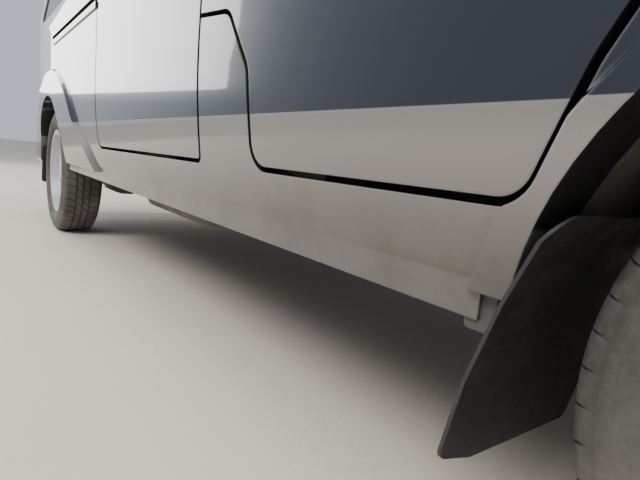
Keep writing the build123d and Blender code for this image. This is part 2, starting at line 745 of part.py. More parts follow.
flare_plane = Plane.YZ.offset(HALF_WIDTH - FLARE_ROOT)
with BuildSketch(flare_plane) as front_lip:
    with Locations((FRONT_AXLE_Y, AXLE_Z)):
        Circle(FRONT_ARCH_R + FRONT_FLARE_W)
with BuildSketch(flare_plane) as rear_sweep:
    with BuildLine():
        crest = [(REAR_AXLE_Y + y, z) for y, z in FLARE_CREST]
        front_edge = Spline(*crest, tangents=[(1, 0.42), (1, -0.25)])
        Polyline(front_edge @ 1, (REAR_AXLE_Y + 470, 0), (REAR_AXLE_Y - 900, 0), front_edge @ 0)
    make_face()
front_flare = carve(flare(front_lip.sketch, FRONT_FLARE_PROUD), None, [nose_cut, front_door_hole])
rear_flare = carve(flare(rear_sweep.sketch, FLARE_PROUD), None, [tail_cut, slide_door_hole])
flange = box(
    (FLANGE_X - 10, FRONT_AXLE_Y + FLANGE_START, FLANGE_Z), (FLANGE_X, REAR_AXLE_Y - ARCH_R + 40, SILL_Z + 12)
)
with BuildPart() as rail_cover:
    extrude(body_section(-RAIL_COVER_PROUD), amount=LENGTH, both=True)
    cover_points = [
        (slot_y[0], RAIL_COVER_LOW_Z), (RAIL_END_Y + 12, RAIL_COVER_LOW_Z),
        (RAIL_END_Y + 12, RAIL_COVER_TOP_Z), (slot_y[0], RAIL_COVER_TOP_Z),
    ]
    add(side_block(outline(cover_points, [0, 12, 12, 0]), 700), mode=Mode.INTERSECT)
    add(inner, mode=Mode.SUBTRACT)
body_side = carve(
    body_shell,
    side_keep,
    [nose_cut, tail_cut, front_arch, rear_arch],
    [front_flare, rear_flare, flange, rail_cover.part],
)
body_side = carve(
    body_side,
    None,
    [
        front_door_hole, slide_door_hole, quarter_window_hole, rail_slot, hinge_relief,
        bonnet_block(half_gap), gate_hole, screen_hole_block.part,
    ],
    pillars + hinge_leaves,
)
body_side = carve(body_side, None, [rear_arch, front_arch])
headlamp_points = [
    (HEADLAMP_IN_X - 40, HEADLAMP_LOW_Z + 62), (HEADLAMP_IN_X + 30, HEADLAMP_LOW_Z),
    (HALF_WIDTH + 40, HEADLAMP_LOW_Z - 10), (HALF_WIDTH + 40, HEADLAMP_TOP_Z + 24),
    (HEADLAMP_IN_X + 90, HEADLAMP_TOP_Z), (HEADLAMP_IN_X - 20, HEADLAMP_TOP_Z - 30),
]
with BuildPart() as headlamp_cutter:
    headlamp_back = Plane.XZ.offset(-HEADLAMP_BACK_Y)
    extrude(outline(headlamp_points, [26, 40, 0, 0, 60, 20], 0, headlamp_back), amount=400)
headlamp_block = headlamp_cutter.part
tail_lamp_block = box(
    (GATE_HALF + 12, TAIL_LAMP_FRONT_Y, TAIL_LAMP_LOW_Z), (HALF_WIDTH + 40, 2100, TAIL_LAMP_TOP_Z)
)
body_side = carve(body_side, None, [headlamp_block, tail_lamp_block])
filler_line = carve(
    disc(FILLER_Y, FILLER_Z, 78, HALF_WIDTH - 18, HALF_WIDTH + 40),
    None,
    [disc(FILLER_Y, FILLER_Z, 75, 700, HALF_WIDTH + 60)],
)
save(carve(body_side, None, [filler_line]), "body_side_left")
save(twin(body_side), "body_side_right")
headlamp = carve(body_shell, headlamp_block, [bonnet_block(half_gap)])
save(both(headlamp), "headlamps")
tail_lamp = carve(body_shell, tail_lamp_block, [gate_hole])
save(both(tail_lamp), "tail_lamps")

# Roof with its front and rear headers
roof_keep = carve(
    box((-HALF_WIDTH, -2100, ROOF_SPLIT_Z), (HALF_WIDTH, 2100, HEIGHT + 20)),
    extra=[
        box((-540, -1250, 1600), (540, -900, ROOF_SPLIT_Z)),
        box((-540, 1700, 1600), (540, 2000, ROOF_SPLIT_Z)),
    ],
)


def roof_swage(x):
    """A shallow pressed channel along the roof, at this far off the middle."""
    crown_drop = (HEIGHT - CANT_Z) * (x / (HALF_WIDTH - 160)) ** 2
    low = HEIGHT - crown_drop - SWAGE_DEPTH
    return box((x - SWAGE_W / 2, SWAGE_FRONT_Y, low), (x + SWAGE_W / 2, SWAGE_REAR_Y, HEIGHT + 40))


gate_leaves = [hinge_leaf(frame, HINGE_REACH) for frame in gate_hinges]
gate_beam = box((-540, gate_pivot_y - 110, gate_pivot_z - 20), (540, gate_pivot_y - 50, ROOF_SPLIT_Z + 50))
with BuildPart() as gate_relief:
    with BuildSketch(Plane.YZ.offset(-560)):
        with Locations((gate_pivot_y, gate_pivot_z)):
            Circle(HINGE_RELIEF_R)
    extrude(amount=1120)
roof = carve(body_shell, roof_keep, [screen_hole_block.part, gate_hole, gate_relief.part])
roof = carve(roof, None, [roof_swage(x) for x in ROOF_SWAGES], [gate_beam] + gate_leaves)
save(roof, "roof")

# Tailgate and its glass
plate_corners = [
    (-PLATE_HALF, PLATE_LOW_Z), (PLATE_HALF, PLATE_LOW_Z),
    (PLATE_HALF, PLATE_TOP_Z), (-PLATE_HALF, PLATE_TOP_Z),
]
with BuildPart() as plate_recess:
    plate_floor = TAIL_FACE.offset(PLATE_FLOOR_Y - TAIL_FACE.origin.Y)
    extrude(outline(plate_corners, [16] * 4, 0, plate_floor), amount=200)
gate_pockets = [hinge_pocket(frame) for frame in gate_hinges]
tailgate = carve(door_shell, gate_keep, [gate_window_hole, plate_recess.part] + gate_pockets)
save(tailgate, "tailgate")
save(carve(pane_shell, gate_pane), "tailgate_glass")

# Bonnet, nose panel and cowl
bonnet = carve(door_shell, bonnet_block(-half_gap), [hinge_pocket(frame) for frame in bonnet_hinges])
save(bonnet, "bonnet")
bonnet_leaves = [hinge_leaf(frame, HINGE_REACH) for frame in bonnet_hinges]
cowl_beam = box(
    (-NOSE_SPLIT_X, bonnet_pivot_y - 26, COWL_Z - 150), (NOSE_SPLIT_X, bonnet_pivot_y + 30, COWL_Z - 78)
)
nose_keep = carve(
    box((-NOSE_SPLIT_X, -2100, BUMPER_TOP_Z), (NOSE_SPLIT_X, BONNET_FRONT_Y + 60, BONNET_NOSE_Z + 40)),
    extra=[box((-NOSE_SPLIT_X, BONNET_REAR_Y - 20, 930), (NOSE_SPLIT_X, COWL_Y + 190, 1080))],
)
with BuildPart() as bonnet_relief:
    with BuildSketch(Plane.YZ.offset(-NOSE_SPLIT_X)):
        with Locations((bonnet_pivot_y, bonnet_pivot_z)):
            Circle(HINGE_RELIEF_R)
    extrude(amount=2 * NOSE_SPLIT_X)
grille_hole = box((-GRILLE_HALF, -2100, GRILLE_LOW_Z), (GRILLE_HALF, -1850, GRILLE_TOP_Z))
nose = carve(
    body_shell,
    nose_keep,
    [
        bonnet_block(half_gap), screen_hole_block.part, bonnet_relief.part,
        headlamp_block, twin(headlamp_block), grille_hole,
    ],
)
cowl_riser = box(
    (-NOSE_SPLIT_X, bonnet_pivot_y + 30, FIREWALL_TOP_Z + SEAT_GAP),
    (NOSE_SPLIT_X, bonnet_pivot_y + 60, COWL_Z - 45),
)
nose = carve(nose, None, [], [cowl_beam, cowl_riser] + bonnet_leaves)
save(nose, "front_panel")
grille_frame = carve(body_shell, grille_hole)
bar_step = (GRILLE_TOP_Z - GRILLE_LOW_Z - GRILLE_BAR_H) / GRILLE_BARS
grille_slots = [
    box(
        (-GRILLE_HALF + 16, -2100, GRILLE_LOW_Z + GRILLE_BAR_H + row * bar_step),
        (GRILLE_HALF - 16, -1800, GRILLE_LOW_Z + (row + 1) * bar_step),
    )
    for row in range(GRILLE_BARS)
]
save(carve(grille_frame, None, grille_slots), "grille")
save(carve(pane_shell, screen_pane_block.part), "windscreen")


# Bumpers: a bowed plan with rounded corners, hollow behind the skin
def bumper_plan(front, grow):
    """Plan of one bumper, from its bowed face back to the wheel arch."""
    way = -1 if front else 1
    face = LENGTH / 2
    back = BUMPER_BACK_Y if front else REAR_BUMPER_BACK_Y
    with BuildSketch(Plane.XY) as plan:
        with BuildLine():
            corner = (BUMPER_HALF - 60, way * (face - 70))
            Polyline((0, back), (BUMPER_HALF, back), (BUMPER_HALF, way * (face - 170)), corner)
            mirror(about=Plane.YZ)
            ThreePointArc((-corner[0], corner[1]), (0, way * face), corner)
        make_face()
        fillet([v for v in plan.vertices() if abs(v.Y) > face - 80], 110)
        if grow:
            offset(amount=grow, kind=Kind.INTERSECTION)
    return plan.sketch


def arch_radius(front):
    """Radius of the wheel arch, a little smaller at the front."""
    return FRONT_ARCH_R if front else ARCH_R


def bumper(front, low):
    """A bumper skin open to the back, with a closed top and bottom edge."""
    with BuildPart() as shell:
        extrude(bumper_plan(front, 0), amount=BUMPER_TOP_Z - SEAT_GAP)
        with BuildSketch(Plane.XY):
            Rectangle(2 * WIDTH, 2 * LENGTH)
        extrude(amount=low, mode=Mode.SUBTRACT)
        rim = shell.edges().group_by(Axis.Z)[-1] + shell.edges().group_by(Axis.Z)[0]
        faces = [edge for edge in rim if abs(edge.center().Y) > BUMPER_FACE_EDGE_Y]
        fillet(faces, BUMPER_EDGE_R)
    return carve(shell.part, None, [
        bumper_core(front),
        disc(FRONT_AXLE_Y if front else REAR_AXLE_Y, AXLE_Z, arch_radius(front) + 1, -1000, 1000),
    ])


def bumper_core(front):
    """The hollow behind a bumper's skin, open below and to the back."""
    back = BUMPER_BACK_Y if front else REAR_BUMPER_BACK_Y
    way = 1 if front else -1
    inside = BUMPER_HALF - BUMPER_WALL
    with BuildPart() as core:
        extrude(bumper_plan(front, -BUMPER_WALL), amount=BUMPER_TOP_Z - BUMPER_WALL / 2)
        y_low, y_high = sorted((back - way * 60, back + way * 20))
        add(box((-inside, y_low, 0), (inside, y_high, BUMPER_TOP_Z - BUMPER_WALL / 2)))
        y_low, y_high = sorted((back, -way * BUMPER_LEDGE_Y))
        add(box((-inside, y_low, 0), (inside, y_high, BUMPER_TOP_Z + 10)))
    return core.part


intake = box((-330, -2100, 330), (330, NOSE_Y + 130, 410))
intake_bars = [
    box((-332, NOSE_Y + 22, 355 + 26 * row), (332, NOSE_Y + 46, 361 + 26 * row)) for row in range(2)
]
with BuildPart() as fog_pocket:
    with BuildSketch(Plane.XZ.offset(-FOG_BACK_Y)):
        with Locations((FOG_X, FOG_Z)):
            Circle(FOG_R)
    extrude(amount=300)
bumper_cuts = [intake, fog_pocket.part, twin(fog_pocket.part)]
front_bumper = carve(bumper(True, FRONT_BUMPER_LOW_Z), None, bumper_cuts, intake_bars)
save(front_bumper, "front_bumper")
save(bumper(False, REAR_BUMPER_LOW_Z), "rear_bumper")

# Wheels
with BuildPart() as tyre:
    with BuildSketch(Plane.XZ):
        with BuildLine():
            half = TYRE_W / 2
            Polyline((-TYRE_BEAD_X, BEAD_R), (TYRE_BEAD_X, BEAD_R), (TYRE_BEAD_X, RIM_FLANGE_R + 2))
            ThreePointArc((TYRE_BEAD_X, RIM_FLANGE_R + 2), (half, 236), (half - 8, 262))
            ThreePointArc((half - 8, 262), (half - 14, 273), (half - 27, TYRE_R - 3))
            ThreePointArc((half - 27, TYRE_R - 3), (0, TYRE_R), (-half + 27, TYRE_R - 3))
            ThreePointArc((-half + 27, TYRE_R - 3), (-half + 14, 273), (-half + 8, 262))
            ThreePointArc((-half + 8, 262), (-half, 236), (-TYRE_BEAD_X, RIM_FLANGE_R + 2))
            Line((-TYRE_BEAD_X, RIM_FLANGE_R + 2), (-TYRE_BEAD_X, BEAD_R))
        make_face()
    revolve(axis=Axis.X)

with BuildPart() as rim:
    with BuildSketch(Plane.XZ):
        with BuildLine():
            edge = RIM_W / 2
            Polyline(
                (-edge, RIM_FLANGE_R), (-edge + 5.5, RIM_FLANGE_R), (-edge + 5.5, BEAD_R - SEAT_GAP),
                (-25, BEAD_R - 8), (-8, RIM_WELL_R), (16, RIM_WELL_R), (32, BEAD_R - 8),
                (edge - 5.5, BEAD_R - SEAT_GAP), (edge - 5.5, RIM_FLANGE_R), (edge, RIM_FLANGE_R),
                (edge, BEAD_R - 9), (34, BEAD_R - 14), (22, RIM_WELL_R - 6), (DISC_X + 6, 132),
                (DISC_X + 17, 104), (DISC_X + 10, 66), (DISC_X + 4, 46), (DISC_X + 26, 40), (DISC_X + 30, 26),
                (DISC_X + 30, 0), (DISC_X - 4, 0), (DISC_X - 4, HUB_BORE_R), (HUB_IN_X, HUB_BORE_R),
                (HUB_IN_X, HUB_R),
                (DISC_X - 6, HUB_R + 4), (DISC_X - 2, 50), (DISC_X + 4, 68), (DISC_X + 11, 104),
                (DISC_X, 128),
                (12, RIM_WELL_R - 6), (-10, RIM_WELL_R - 6), (-27, BEAD_R - 14), (-edge, BEAD_R - 9),
                close=True,
            )
        make_face()
    revolve(axis=Axis.X)
    with BuildSketch(Plane.YZ):
        with PolarLocations(VENT_PITCH_R, VENTS):
            SlotOverall(VENT_L, VENT_W, rotation=90)
    extrude(amount=RIM_W, mode=Mode.SUBTRACT)

wheel_spots = {
    "front_left": (1, WHEEL_X, FRONT_AXLE_Y),
    "front_right": (-1, WHEEL_X, FRONT_AXLE_Y),
    "rear_left": (1, REAR_WHEEL_X, REAR_AXLE_Y),
    "rear_right": (-1, REAR_WHEEL_X, REAR_AXLE_Y),
}
for corner, (side, wheel_x, axle_y) in wheel_spots.items():
    for kind, shape in (("tyre", tyre), ("rim", rim)):
        with BuildPart() as placed:
            with Locations((wheel_x, axle_y, AXLE_Z)):
                add(shape.part)
            if side < 0:
                mirror(about=Plane.YZ, mode=Mode.REPLACE)
        save(placed.part, f"{kind}_{corner}")

with BuildPart() as spare:
    spare_z = LOAD_FLOOR_Z - FLOOR_T - SEAT_GAP - TYRE_W / 2
    with Locations(Location((0, SPARE_Y, spare_z), (0, 90, 0))):
        add(tyre.part)
        add(rim.part)
save(spare.part, "spare_wheel")

# Arch liners, with the strut towers over the front wheels
def liner(axle_y, radius, inner_x, low_z):
    """A wheelhouse: the half barrel over one wheel and its inner wall."""
    with BuildPart() as house:
        add(disc(axle_y, AXLE_Z, radius + LINER_T, inner_x - LINER_T, HALF_WIDTH - SIDE_WALL - SEAT_GAP))
        add(disc(axle_y, AXLE_Z, radius, inner_x, HALF_WIDTH), mode=Mode.SUBTRACT)
        add(box((0, -2200, -200), (1000, 2200, low_z)), mode=Mode.SUBTRACT)
    return house.part


with BuildPart() as tower:
    with BuildSketch(Plane.XY.offset(TOWER_LOW_Z)):
        with Locations((TOWER_X, FRONT_AXLE_Y)):
            Circle(TOWER_R)
    extrude(amount=TOWER_TOP_Z - TOWER_LOW_Z)
    with BuildSketch(Plane.XY.offset(TOWER_LOW_Z)):
        with Locations((TOWER_X, FRONT_AXLE_Y)):
            Circle(TOWER_R - LINER_T)
    extrude(amount=TOWER_TOP_Z - TOWER_LOW_Z - LINER_T, mode=Mode.SUBTRACT)
    with Locations((TOP_MOUNT_X, FRONT_AXLE_Y, TOWER_TOP_Z)):
        Cylinder(ROD_R + 1.5, 60, mode=Mode.SUBTRACT)
with BuildPart() as tower_core:
    with BuildSketch(Plane.XY.offset(0)):
        with Locations((TOWER_X, FRONT_AXLE_Y)):
            Circle(TOWER_R - LINER_T)
    extrude(amount=TOWER_TOP_Z - LINER_T - 1)
front_house = liner(FRONT_AXLE_Y, FRONT_ARCH_R, LINER_INNER_X, SILL_Z)
front_barrel = disc(FRONT_AXLE_Y, AXLE_Z, FRONT_ARCH_R, LINER_INNER_X, HALF_WIDTH)
front_house = carve(front_house, None, [tower_core.part], [carve(tower.part, None, [front_barrel])])
rear_house = liner(REAR_AXLE_Y, ARCH_R, REAR_LINER_INNER_X, SILL_Z)
door_corner = box(
    (HALF_WIDTH - 70, FRONT_DOOR_FRONT_Y + 90, 330), (HALF_WIDTH, FRONT_AXLE_Y + FRONT_ARCH_R + 20, 640)
)
houses = carve(front_house, None, [body_side, door_corner], [carve(rear_house, None, [body_side])])
save(both(houses), "wheel_houses")

# Floor: toe board, footwell, seat box and load floor as one folded sheet
with BuildPart() as floor_pan:
    with BuildSketch(Plane.YZ):
        with BuildLine():
            Polyline(
                (COWL_SHELF_Y, FIREWALL_TOP_Z), (FIREWALL_Y, FIREWALL_TOP_Z), (FIREWALL_Y, 620),
                (TOE_Y, FOOTWELL_Z), (SEAT_BOX_FRONT_Y, FOOTWELL_Z),
                (SEAT_BOX_FRONT_Y, SEAT_BOX_Z), (SEAT_BOX_REAR_Y, SEAT_BOX_Z),
                (SEAT_BOX_REAR_Y, LOAD_FLOOR_Z),
                (FLOOR_END_Y - FLOOR_T, LOAD_FLOOR_Z), (FLOOR_END_Y - FLOOR_T, FLOOR_LIP_Z),
                (FLOOR_END_Y, FLOOR_LIP_Z), (FLOOR_END_Y, LOAD_FLOOR_Z - FLOOR_T),
                (SEAT_BOX_REAR_Y - FLOOR_T, LOAD_FLOOR_Z - FLOOR_T),
                (SEAT_BOX_REAR_Y - FLOOR_T, SEAT_BOX_Z - FLOOR_T),
                (SEAT_BOX_FRONT_Y + FLOOR_T, SEAT_BOX_Z - FLOOR_T),
                (SEAT_BOX_FRONT_Y + FLOOR_T, FOOTWELL_Z - FLOOR_T),
                (TOE_Y - 6, FOOTWELL_Z - FLOOR_T), (FIREWALL_Y - FLOOR_T, 617),
                (FIREWALL_Y - FLOOR_T, FIREWALL_TOP_Z - FLOOR_T), (COWL_SHELF_Y, FIREWALL_TOP_Z - FLOOR_T),
                close=True,
            )
        make_face()
    extrude(amount=SILL_INNER_X - SEAT_GAP, both=True)
    clear = LINER_T + SEAT_GAP
    for side in (-1, 1):
        corner_x = sorted((side * 590, side * 800))
        add(box((corner_x[0], 1790, 480), (corner_x[1], 2000, 620)), mode=Mode.SUBTRACT)
    for axle_y, radius, near in (
        (FRONT_AXLE_Y, FRONT_ARCH_R, LINER_INNER_X), (REAR_AXLE_Y, ARCH_R, REAR_LINER_INNER_X)
    ):
        wheel_clear = disc(axle_y, AXLE_Z, radius + clear, near - LINER_T - SEAT_GAP, HALF_WIDTH)
        add(wheel_clear, mode=Mode.SUBTRACT)
        add(twin(wheel_clear), mode=Mode.SUBTRACT)
save(floor_pan.part, "floor_pan")

# Frame rails and cross members under the floor
front_rail = box((325, -1880, 330), (385, 60, FOOTWELL_Z - FLOOR_T - SEAT_GAP))
rear_rail = box((RAIL_X - 30, -245, 400), (RAIL_X + 30, 1900, LOAD_FLOOR_Z - FLOOR_T - SEAT_GAP))
cross_places = [(-230, 380, 505), (700, 420, 500), (1010, 420, 500)]
rails = carve(front_rail, None, [], [rear_rail])
members = [box((-RAIL_X, y, low), (RAIL_X, y + 50, top)) for y, low, top in cross_places]
members += [
    box((-355, -1870, 330), (355, -1810, 385)),
    box((-385, -500, 240), (385, -440, 268 - SEAT_GAP)),
    box((-385, -500, 240), (-325, -440, 335)),
    box((325, -500, 240), (385, -440, 335)),
]
cheek_in = LEAF_W / 2 + SEAT_GAP
spring_hangers = []
for y in (SPRING_FRONT_Y, SPRING_REAR_Y):
    for side in (-1, 1):
        inner_x, outer_x = sorted((RAIL_X + side * cheek_in, RAIL_X + side * (cheek_in + CHEEK_T)))
        spring_hangers.append(box((inner_x, y - 26, SPRING_EYE_Z - 28), (outer_x, y + 26, 402)))
    with BuildPart() as eye_bolt:
        with BuildSketch(Plane.YZ.offset(RAIL_X - cheek_in - CHEEK_T)):
            with Locations((y, SPRING_EYE_Z - LEAF_T / 2)):
                Circle(PIN_R)
        extrude(amount=2 * (cheek_in + CHEEK_T))
    spring_hangers.append(eye_bolt.part)
save(carve(both(carve(rails, None, [], spring_hangers)), None, [], members), "frame_rails")

# Engine block with its gearbox, and the tank
engine = carve(box((-215, -735, 268), (215, -285, 590)), None, [], [box((-120, -285, 275), (120, 60, 375))])
save(engine, "engine_block")
with BuildPart() as tank:
    add(box((TANK_LOW_X, TANK_FRONT_Y, TANK_LOW_Z), (TANK_HIGH_X, TANK_REAR_Y, TANK_TOP_Z)))
    fillet(tank.edges().filter_by(Axis.Z), 55)
    fillet(tank.edges().group_by(Axis.Z)[0], 30)
save(tank.part, "fuel_tank")

# Propshaft between the gearbox and the axle
with BuildPart() as propshaft:
    with BuildSketch(Plane.XZ.offset(-SHAFT_FRONT_Y)):
        with Locations((0, SHAFT_Z)):
            Circle(30)
    extrude(amount=-(SHAFT_REAR_Y - SHAFT_FRONT_Y))
    for y in (SHAFT_FRONT_Y, SHAFT_REAR_Y - 34):
        with BuildSketch(Plane.XZ.offset(-y)):
            with Locations((0, SHAFT_Z)):
                Circle(48)
        extrude(amount=-34)
save(propshaft.part, "propshaft")

# Live rear axle: tubes, differential and brake drums, with a stub for each wheel
with BuildPart() as axle:
    with BuildSketch(Plane.XZ.offset(-REAR_AXLE_Y)):
        with BuildLine():
            drum_in = REAR_WHEEL_X - 60
            Polyline(
                (0, AXLE_Z), (0, AXLE_Z + 104), (60, AXLE_Z + 92), (105, AXLE_Z + 50), (130, AXLE_Z + 36),
                (drum_in - 8, AXLE_Z + 36), (drum_in - 8, AXLE_Z + 116), (drum_in + 34, AXLE_Z + 116),
                (drum_in + 34, AXLE_Z + STUB_R), (REAR_WHEEL_X + DISC_X - 6, AXLE_Z + STUB_R),
                (REAR_WHEEL_X + DISC_X - 6, AXLE_Z), close=True,
            )
        make_face()
    revolve(axis=Axis((0, REAR_AXLE_Y, AXLE_Z), (1, 0, 0)))
    mirror(about=Plane.YZ)
    with BuildSketch(Plane.XZ.offset(-(SHAFT_REAR_Y + SEAT_GAP))):
        with Locations((0, SHAFT_Z)):
            Circle(46)
    with BuildSketch(Plane.XZ.offset(-(REAR_AXLE_Y - 60))):
        with Locations((0, AXLE_Z)):
            Circle(90)
    loft()
save(axle.part, "rear_axle")

# Leaf springs hung under the axle, on a hanger in front and a shackle behind
SPRING_HALF = (SPRING_REAR_Y - SPRING_FRONT_Y) / 2
SPRING_MID_Y = (SPRING_REAR_Y + SPRING_FRONT_Y) / 2
SPRING_RISE = SPRING_EYE_Z - SPRING_MID_Z
SPRING_R = (SPRING_HALF ** 2 + SPRING_RISE ** 2) / (2 * SPRING_RISE)


def leaf(number):
    """One leaf: a shallow arc about the same centre as its fellows, shorter for each step down."""
    half_turn = math.degrees(SPRING_HALF * (1.0 - 0.22 * number) / SPRING_R)
    with BuildPart() as strip:
        with BuildSketch(Plane.YZ.offset(RAIL_X - LEAF_W / 2)) as face:
            with BuildLine():
                centre = (SPRING_MID_Y, SPRING_MID_Z + SPRING_R)
                top = CenterArc(centre, SPRING_R + LEAF_T * number, -90 - half_turn, 2 * half_turn)
                low = CenterArc(centre, SPRING_R + LEAF_T * (number + 1), -90 - half_turn, 2 * half_turn)
                Line(top @ 0, low @ 0)
                Line(top @ 1, low @ 1)
            make_face()
        extrude(amount=LEAF_W)
    return strip.part


def spring_pin(y, radius, half):
    """A round bar or bore across one spring eye."""
    with BuildPart() as bar:
        with BuildSketch(Plane.YZ.offset(RAIL_X - half)):
            with Locations((y, SPRING_EYE_Z - LEAF_T / 2)):
                Circle(radius)
        extrude(amount=2 * half)
    return bar.part


eye_ys = (SPRING_FRONT_Y, SPRING_REAR_Y)
saddle = box(
    (RAIL_X - 32, REAR_AXLE_Y - 55, SPRING_MID_Z - LEAF_T / 2),
    (RAIL_X + 32, REAR_AXLE_Y + 55, AXLE_Z - TUBE_R - SEAT_GAP),
)
spring = carve(
    leaf(0),
    None,
    [],
    [leaf(n) for n in range(1, LEAVES)] + [saddle] + [spring_pin(y, EYE_R, LEAF_W / 2) for y in eye_ys],
)
spring = carve(spring, None, [spring_pin(y, PIN_R + SEAT_GAP, LEAF_W) for y in eye_ys])
save(both(spring), "leaf_springs")

# Exhaust: pipe, silencer and tail pipe along the left of the shaft
with BuildPart() as exhaust:
    with BuildLine() as route:
        FilletPolyline(
            (215 + SEAT_GAP, -600, 332), (300, -600, 332), (300, -300, 262), (300, 1080, 262),
            (300, 1230, 395), (300, 1420, 395), (380, 1560, 300), (380, 1930, 262), radius=50,
        )
    with BuildSketch(Plane(origin=route.wires()[0] @ 0, z_dir=route.wires()[0] % 0)):
        Circle(PIPE_R)
    sweep(path=route.wires()[0])
    with BuildSketch(Plane.XZ.offset(-300)):
        with Locations((300, 262)):
            RectangleRounded(190, 110, 50)
    extrude(amount=-460)
save(exhaust.part, "exhaust")

# Front suspension on the body: cross member, lower arms and steering rack
arm_points = [(330, FRONT_AXLE_Y - 70), (BALL_X - 26, FRONT_AXLE_Y - 24), (BALL_X + 22, FRONT_AXLE_Y - 18),
              (BALL_X + 22, FRONT_AXLE_Y + 18), (BALL_X - 26, FRONT_AXLE_Y + 24), (330, FRONT_AXLE_Y + 170)]
with BuildPart() as arm:
    extrude(outline(arm_points, [10] * 6, 0, Plane.XY.offset(ARM_Z)), amount=20)
    with Locations((BALL_X, FRONT_AXLE_Y, BALL_Z)):
        Sphere(BALL_R + SEAT_GAP, mode=Mode.SUBTRACT)
cross = carve(
    box((-340, FRONT_AXLE_Y - 80, ARM_Z - 6), (340, FRONT_AXLE_Y + 180, ARM_Z + 40)),
    None,
    [],
    [box((-370, FRONT_AXLE_Y - 60, ARM_Z - 6), (-325, FRONT_AXLE_Y + 60, 330 - SEAT_GAP)),
     box((325, FRONT_AXLE_Y - 60, ARM_Z - 6), (370, FRONT_AXLE_Y + 60, 330 - SEAT_GAP))],
)
save(carve(cross, None, [], [arm.part, twin(arm.part)]), "front_suspension")

# Knuckles: stub, carrier, strut tube and rod, turning on the inclined kingpin
king_top = Vector(TOP_MOUNT_X, FRONT_AXLE_Y, TOWER_TOP_Z)
king_low = Vector(BALL_X, FRONT_AXLE_Y, BALL_Z)
strut_low = Vector(STRUT_LOW_X, FRONT_AXLE_Y, STRUT_LOW_Z)
strut_axis = (king_top - strut_low).normalized()
with BuildPart() as knuckle:
    with BuildSketch(Plane.XZ.offset(-FRONT_AXLE_Y)):
        with BuildLine():
            Polyline(
                (WHEEL_X - 80, AXLE_Z), (WHEEL_X - 80, AXLE_Z + 48), (WHEEL_X - 34, AXLE_Z + 48),
                (WHEEL_X - 28, AXLE_Z + STUB_R),
                (WHEEL_X + DISC_X - 6, AXLE_Z + STUB_R), (WHEEL_X + DISC_X - 6, AXLE_Z), close=True,
            )
        make_face()
    revolve(axis=Axis((0, FRONT_AXLE_Y, AXLE_Z), (1, 0, 0)))
    with BuildSketch(Plane.YZ.offset(WHEEL_X - 66)):
        with Locations((FRONT_AXLE_Y, AXLE_Z)):
            Circle(SHIELD_R)
    extrude(amount=4)
    with Locations((BALL_X, FRONT_AXLE_Y, BALL_Z)):
        Sphere(BALL_R)
    with BuildSketch(Plane(origin=king_low, z_dir=(king_top - king_low).normalized())):
        Circle(STUD_R)
    extrude(amount=60)
    add(box((BALL_X - 20, FRONT_AXLE_Y - 14, BALL_Z + 34), (BALL_X + 6, FRONT_AXLE_Y + 14, AXLE_Z - 20)))
    arm_top = STRUT_LOW_Z + 34
    arm_low = (STRUT_LOW_X - 10, FRONT_AXLE_Y - 20, STRUT_LOW_Z - 20)
    add(box(arm_low, (WHEEL_X - 66, FRONT_AXLE_Y + 20, arm_top)))
    add(box((WHEEL_X - 84, FRONT_AXLE_Y - 20, AXLE_Z), (WHEEL_X - 66, FRONT_AXLE_Y + 20, arm_top)))
    add(box((WHEEL_X - 84, FRONT_AXLE_Y - 10, AXLE_Z - 60), (WHEEL_X - 66, FRONT_AXLE_Y + 120, AXLE_Z - 36)))
    with BuildSketch(Plane(origin=strut_low - strut_axis * 20, z_dir=strut_axis)):
        Circle(STRUT_R)
    extrude(amount=300)
    with BuildSketch(Plane(origin=strut_low, z_dir=strut_axis)):
        Circle(ROD_R)
    extrude(amount=(king_top - strut_low).length + 6)
save(knuckle.part, "knuckle_left")
save(twin(knuckle.part), "knuckle_right")

# Cab: dashboard, steering wheel and the two seats
with BuildPart() as dashboard:
    with BuildSketch(Plane.YZ):
        with BuildLine():
            Polyline(
                (DASH_BACK_Y, 925.3), (DASH_BACK_Y + 20, 975), (-1150, 960), (-1085, 915), (-1080, 850),
                (-1120, 780), (-1150, 690), (DASH_BACK_Y, 640), close=True,
            )
        make_face()
    extrude(amount=640, both=True)
save(dashboard.part, "dashboard")

WHEEL_TILT = 32.0
COLUMN_L = 300.0
with BuildPart() as steering_wheel:
    wheel_plane = Plane(
        origin=(DRIVER_X, STEER_Y, STEER_Z), x_dir=(1, 0, 0),
        z_dir=(0, math.sin(math.radians(WHEEL_TILT)), math.cos(math.radians(WHEEL_TILT))),
    )
    section_plane = Plane(origin=wheel_plane.origin, x_dir=(1, 0, 0), z_dir=wheel_plane.y_dir)
    with BuildSketch(section_plane):
        with Locations((STEER_R, 0)):
            Circle(13)
    revolve(axis=Axis(wheel_plane.origin, wheel_plane.z_dir))
    with BuildSketch(wheel_plane.offset(-30)):
        Circle(62)
        with PolarLocations(STEER_R / 2, 3, start_angle=-90):
            Rectangle(STEER_R - 4, 34)
    extrude(amount=22)
    with BuildSketch(wheel_plane.offset(-COLUMN_L)):
        Circle(30)
    extrude(amount=COLUMN_L - 20)
    with BuildSketch(wheel_plane.offset(-600)):
        Circle(12)
    extrude(amount=600 - COLUMN_L)
    with BuildSketch(Plane.YZ):
        with BuildLine():
            Polyline(
                (FIREWALL_Y + 0.35, 620), (TOE_Y + 0.35, FOOTWELL_Z), (FIREWALL_Y - 200, FOOTWELL_Z),
                (FIREWALL_Y - 200, 620), close=True,
            )
        make_face()
    extrude(amount=HALF_WIDTH, both=True, mode=Mode.SUBTRACT)
save(steering_wheel.part, "steering_wheel")


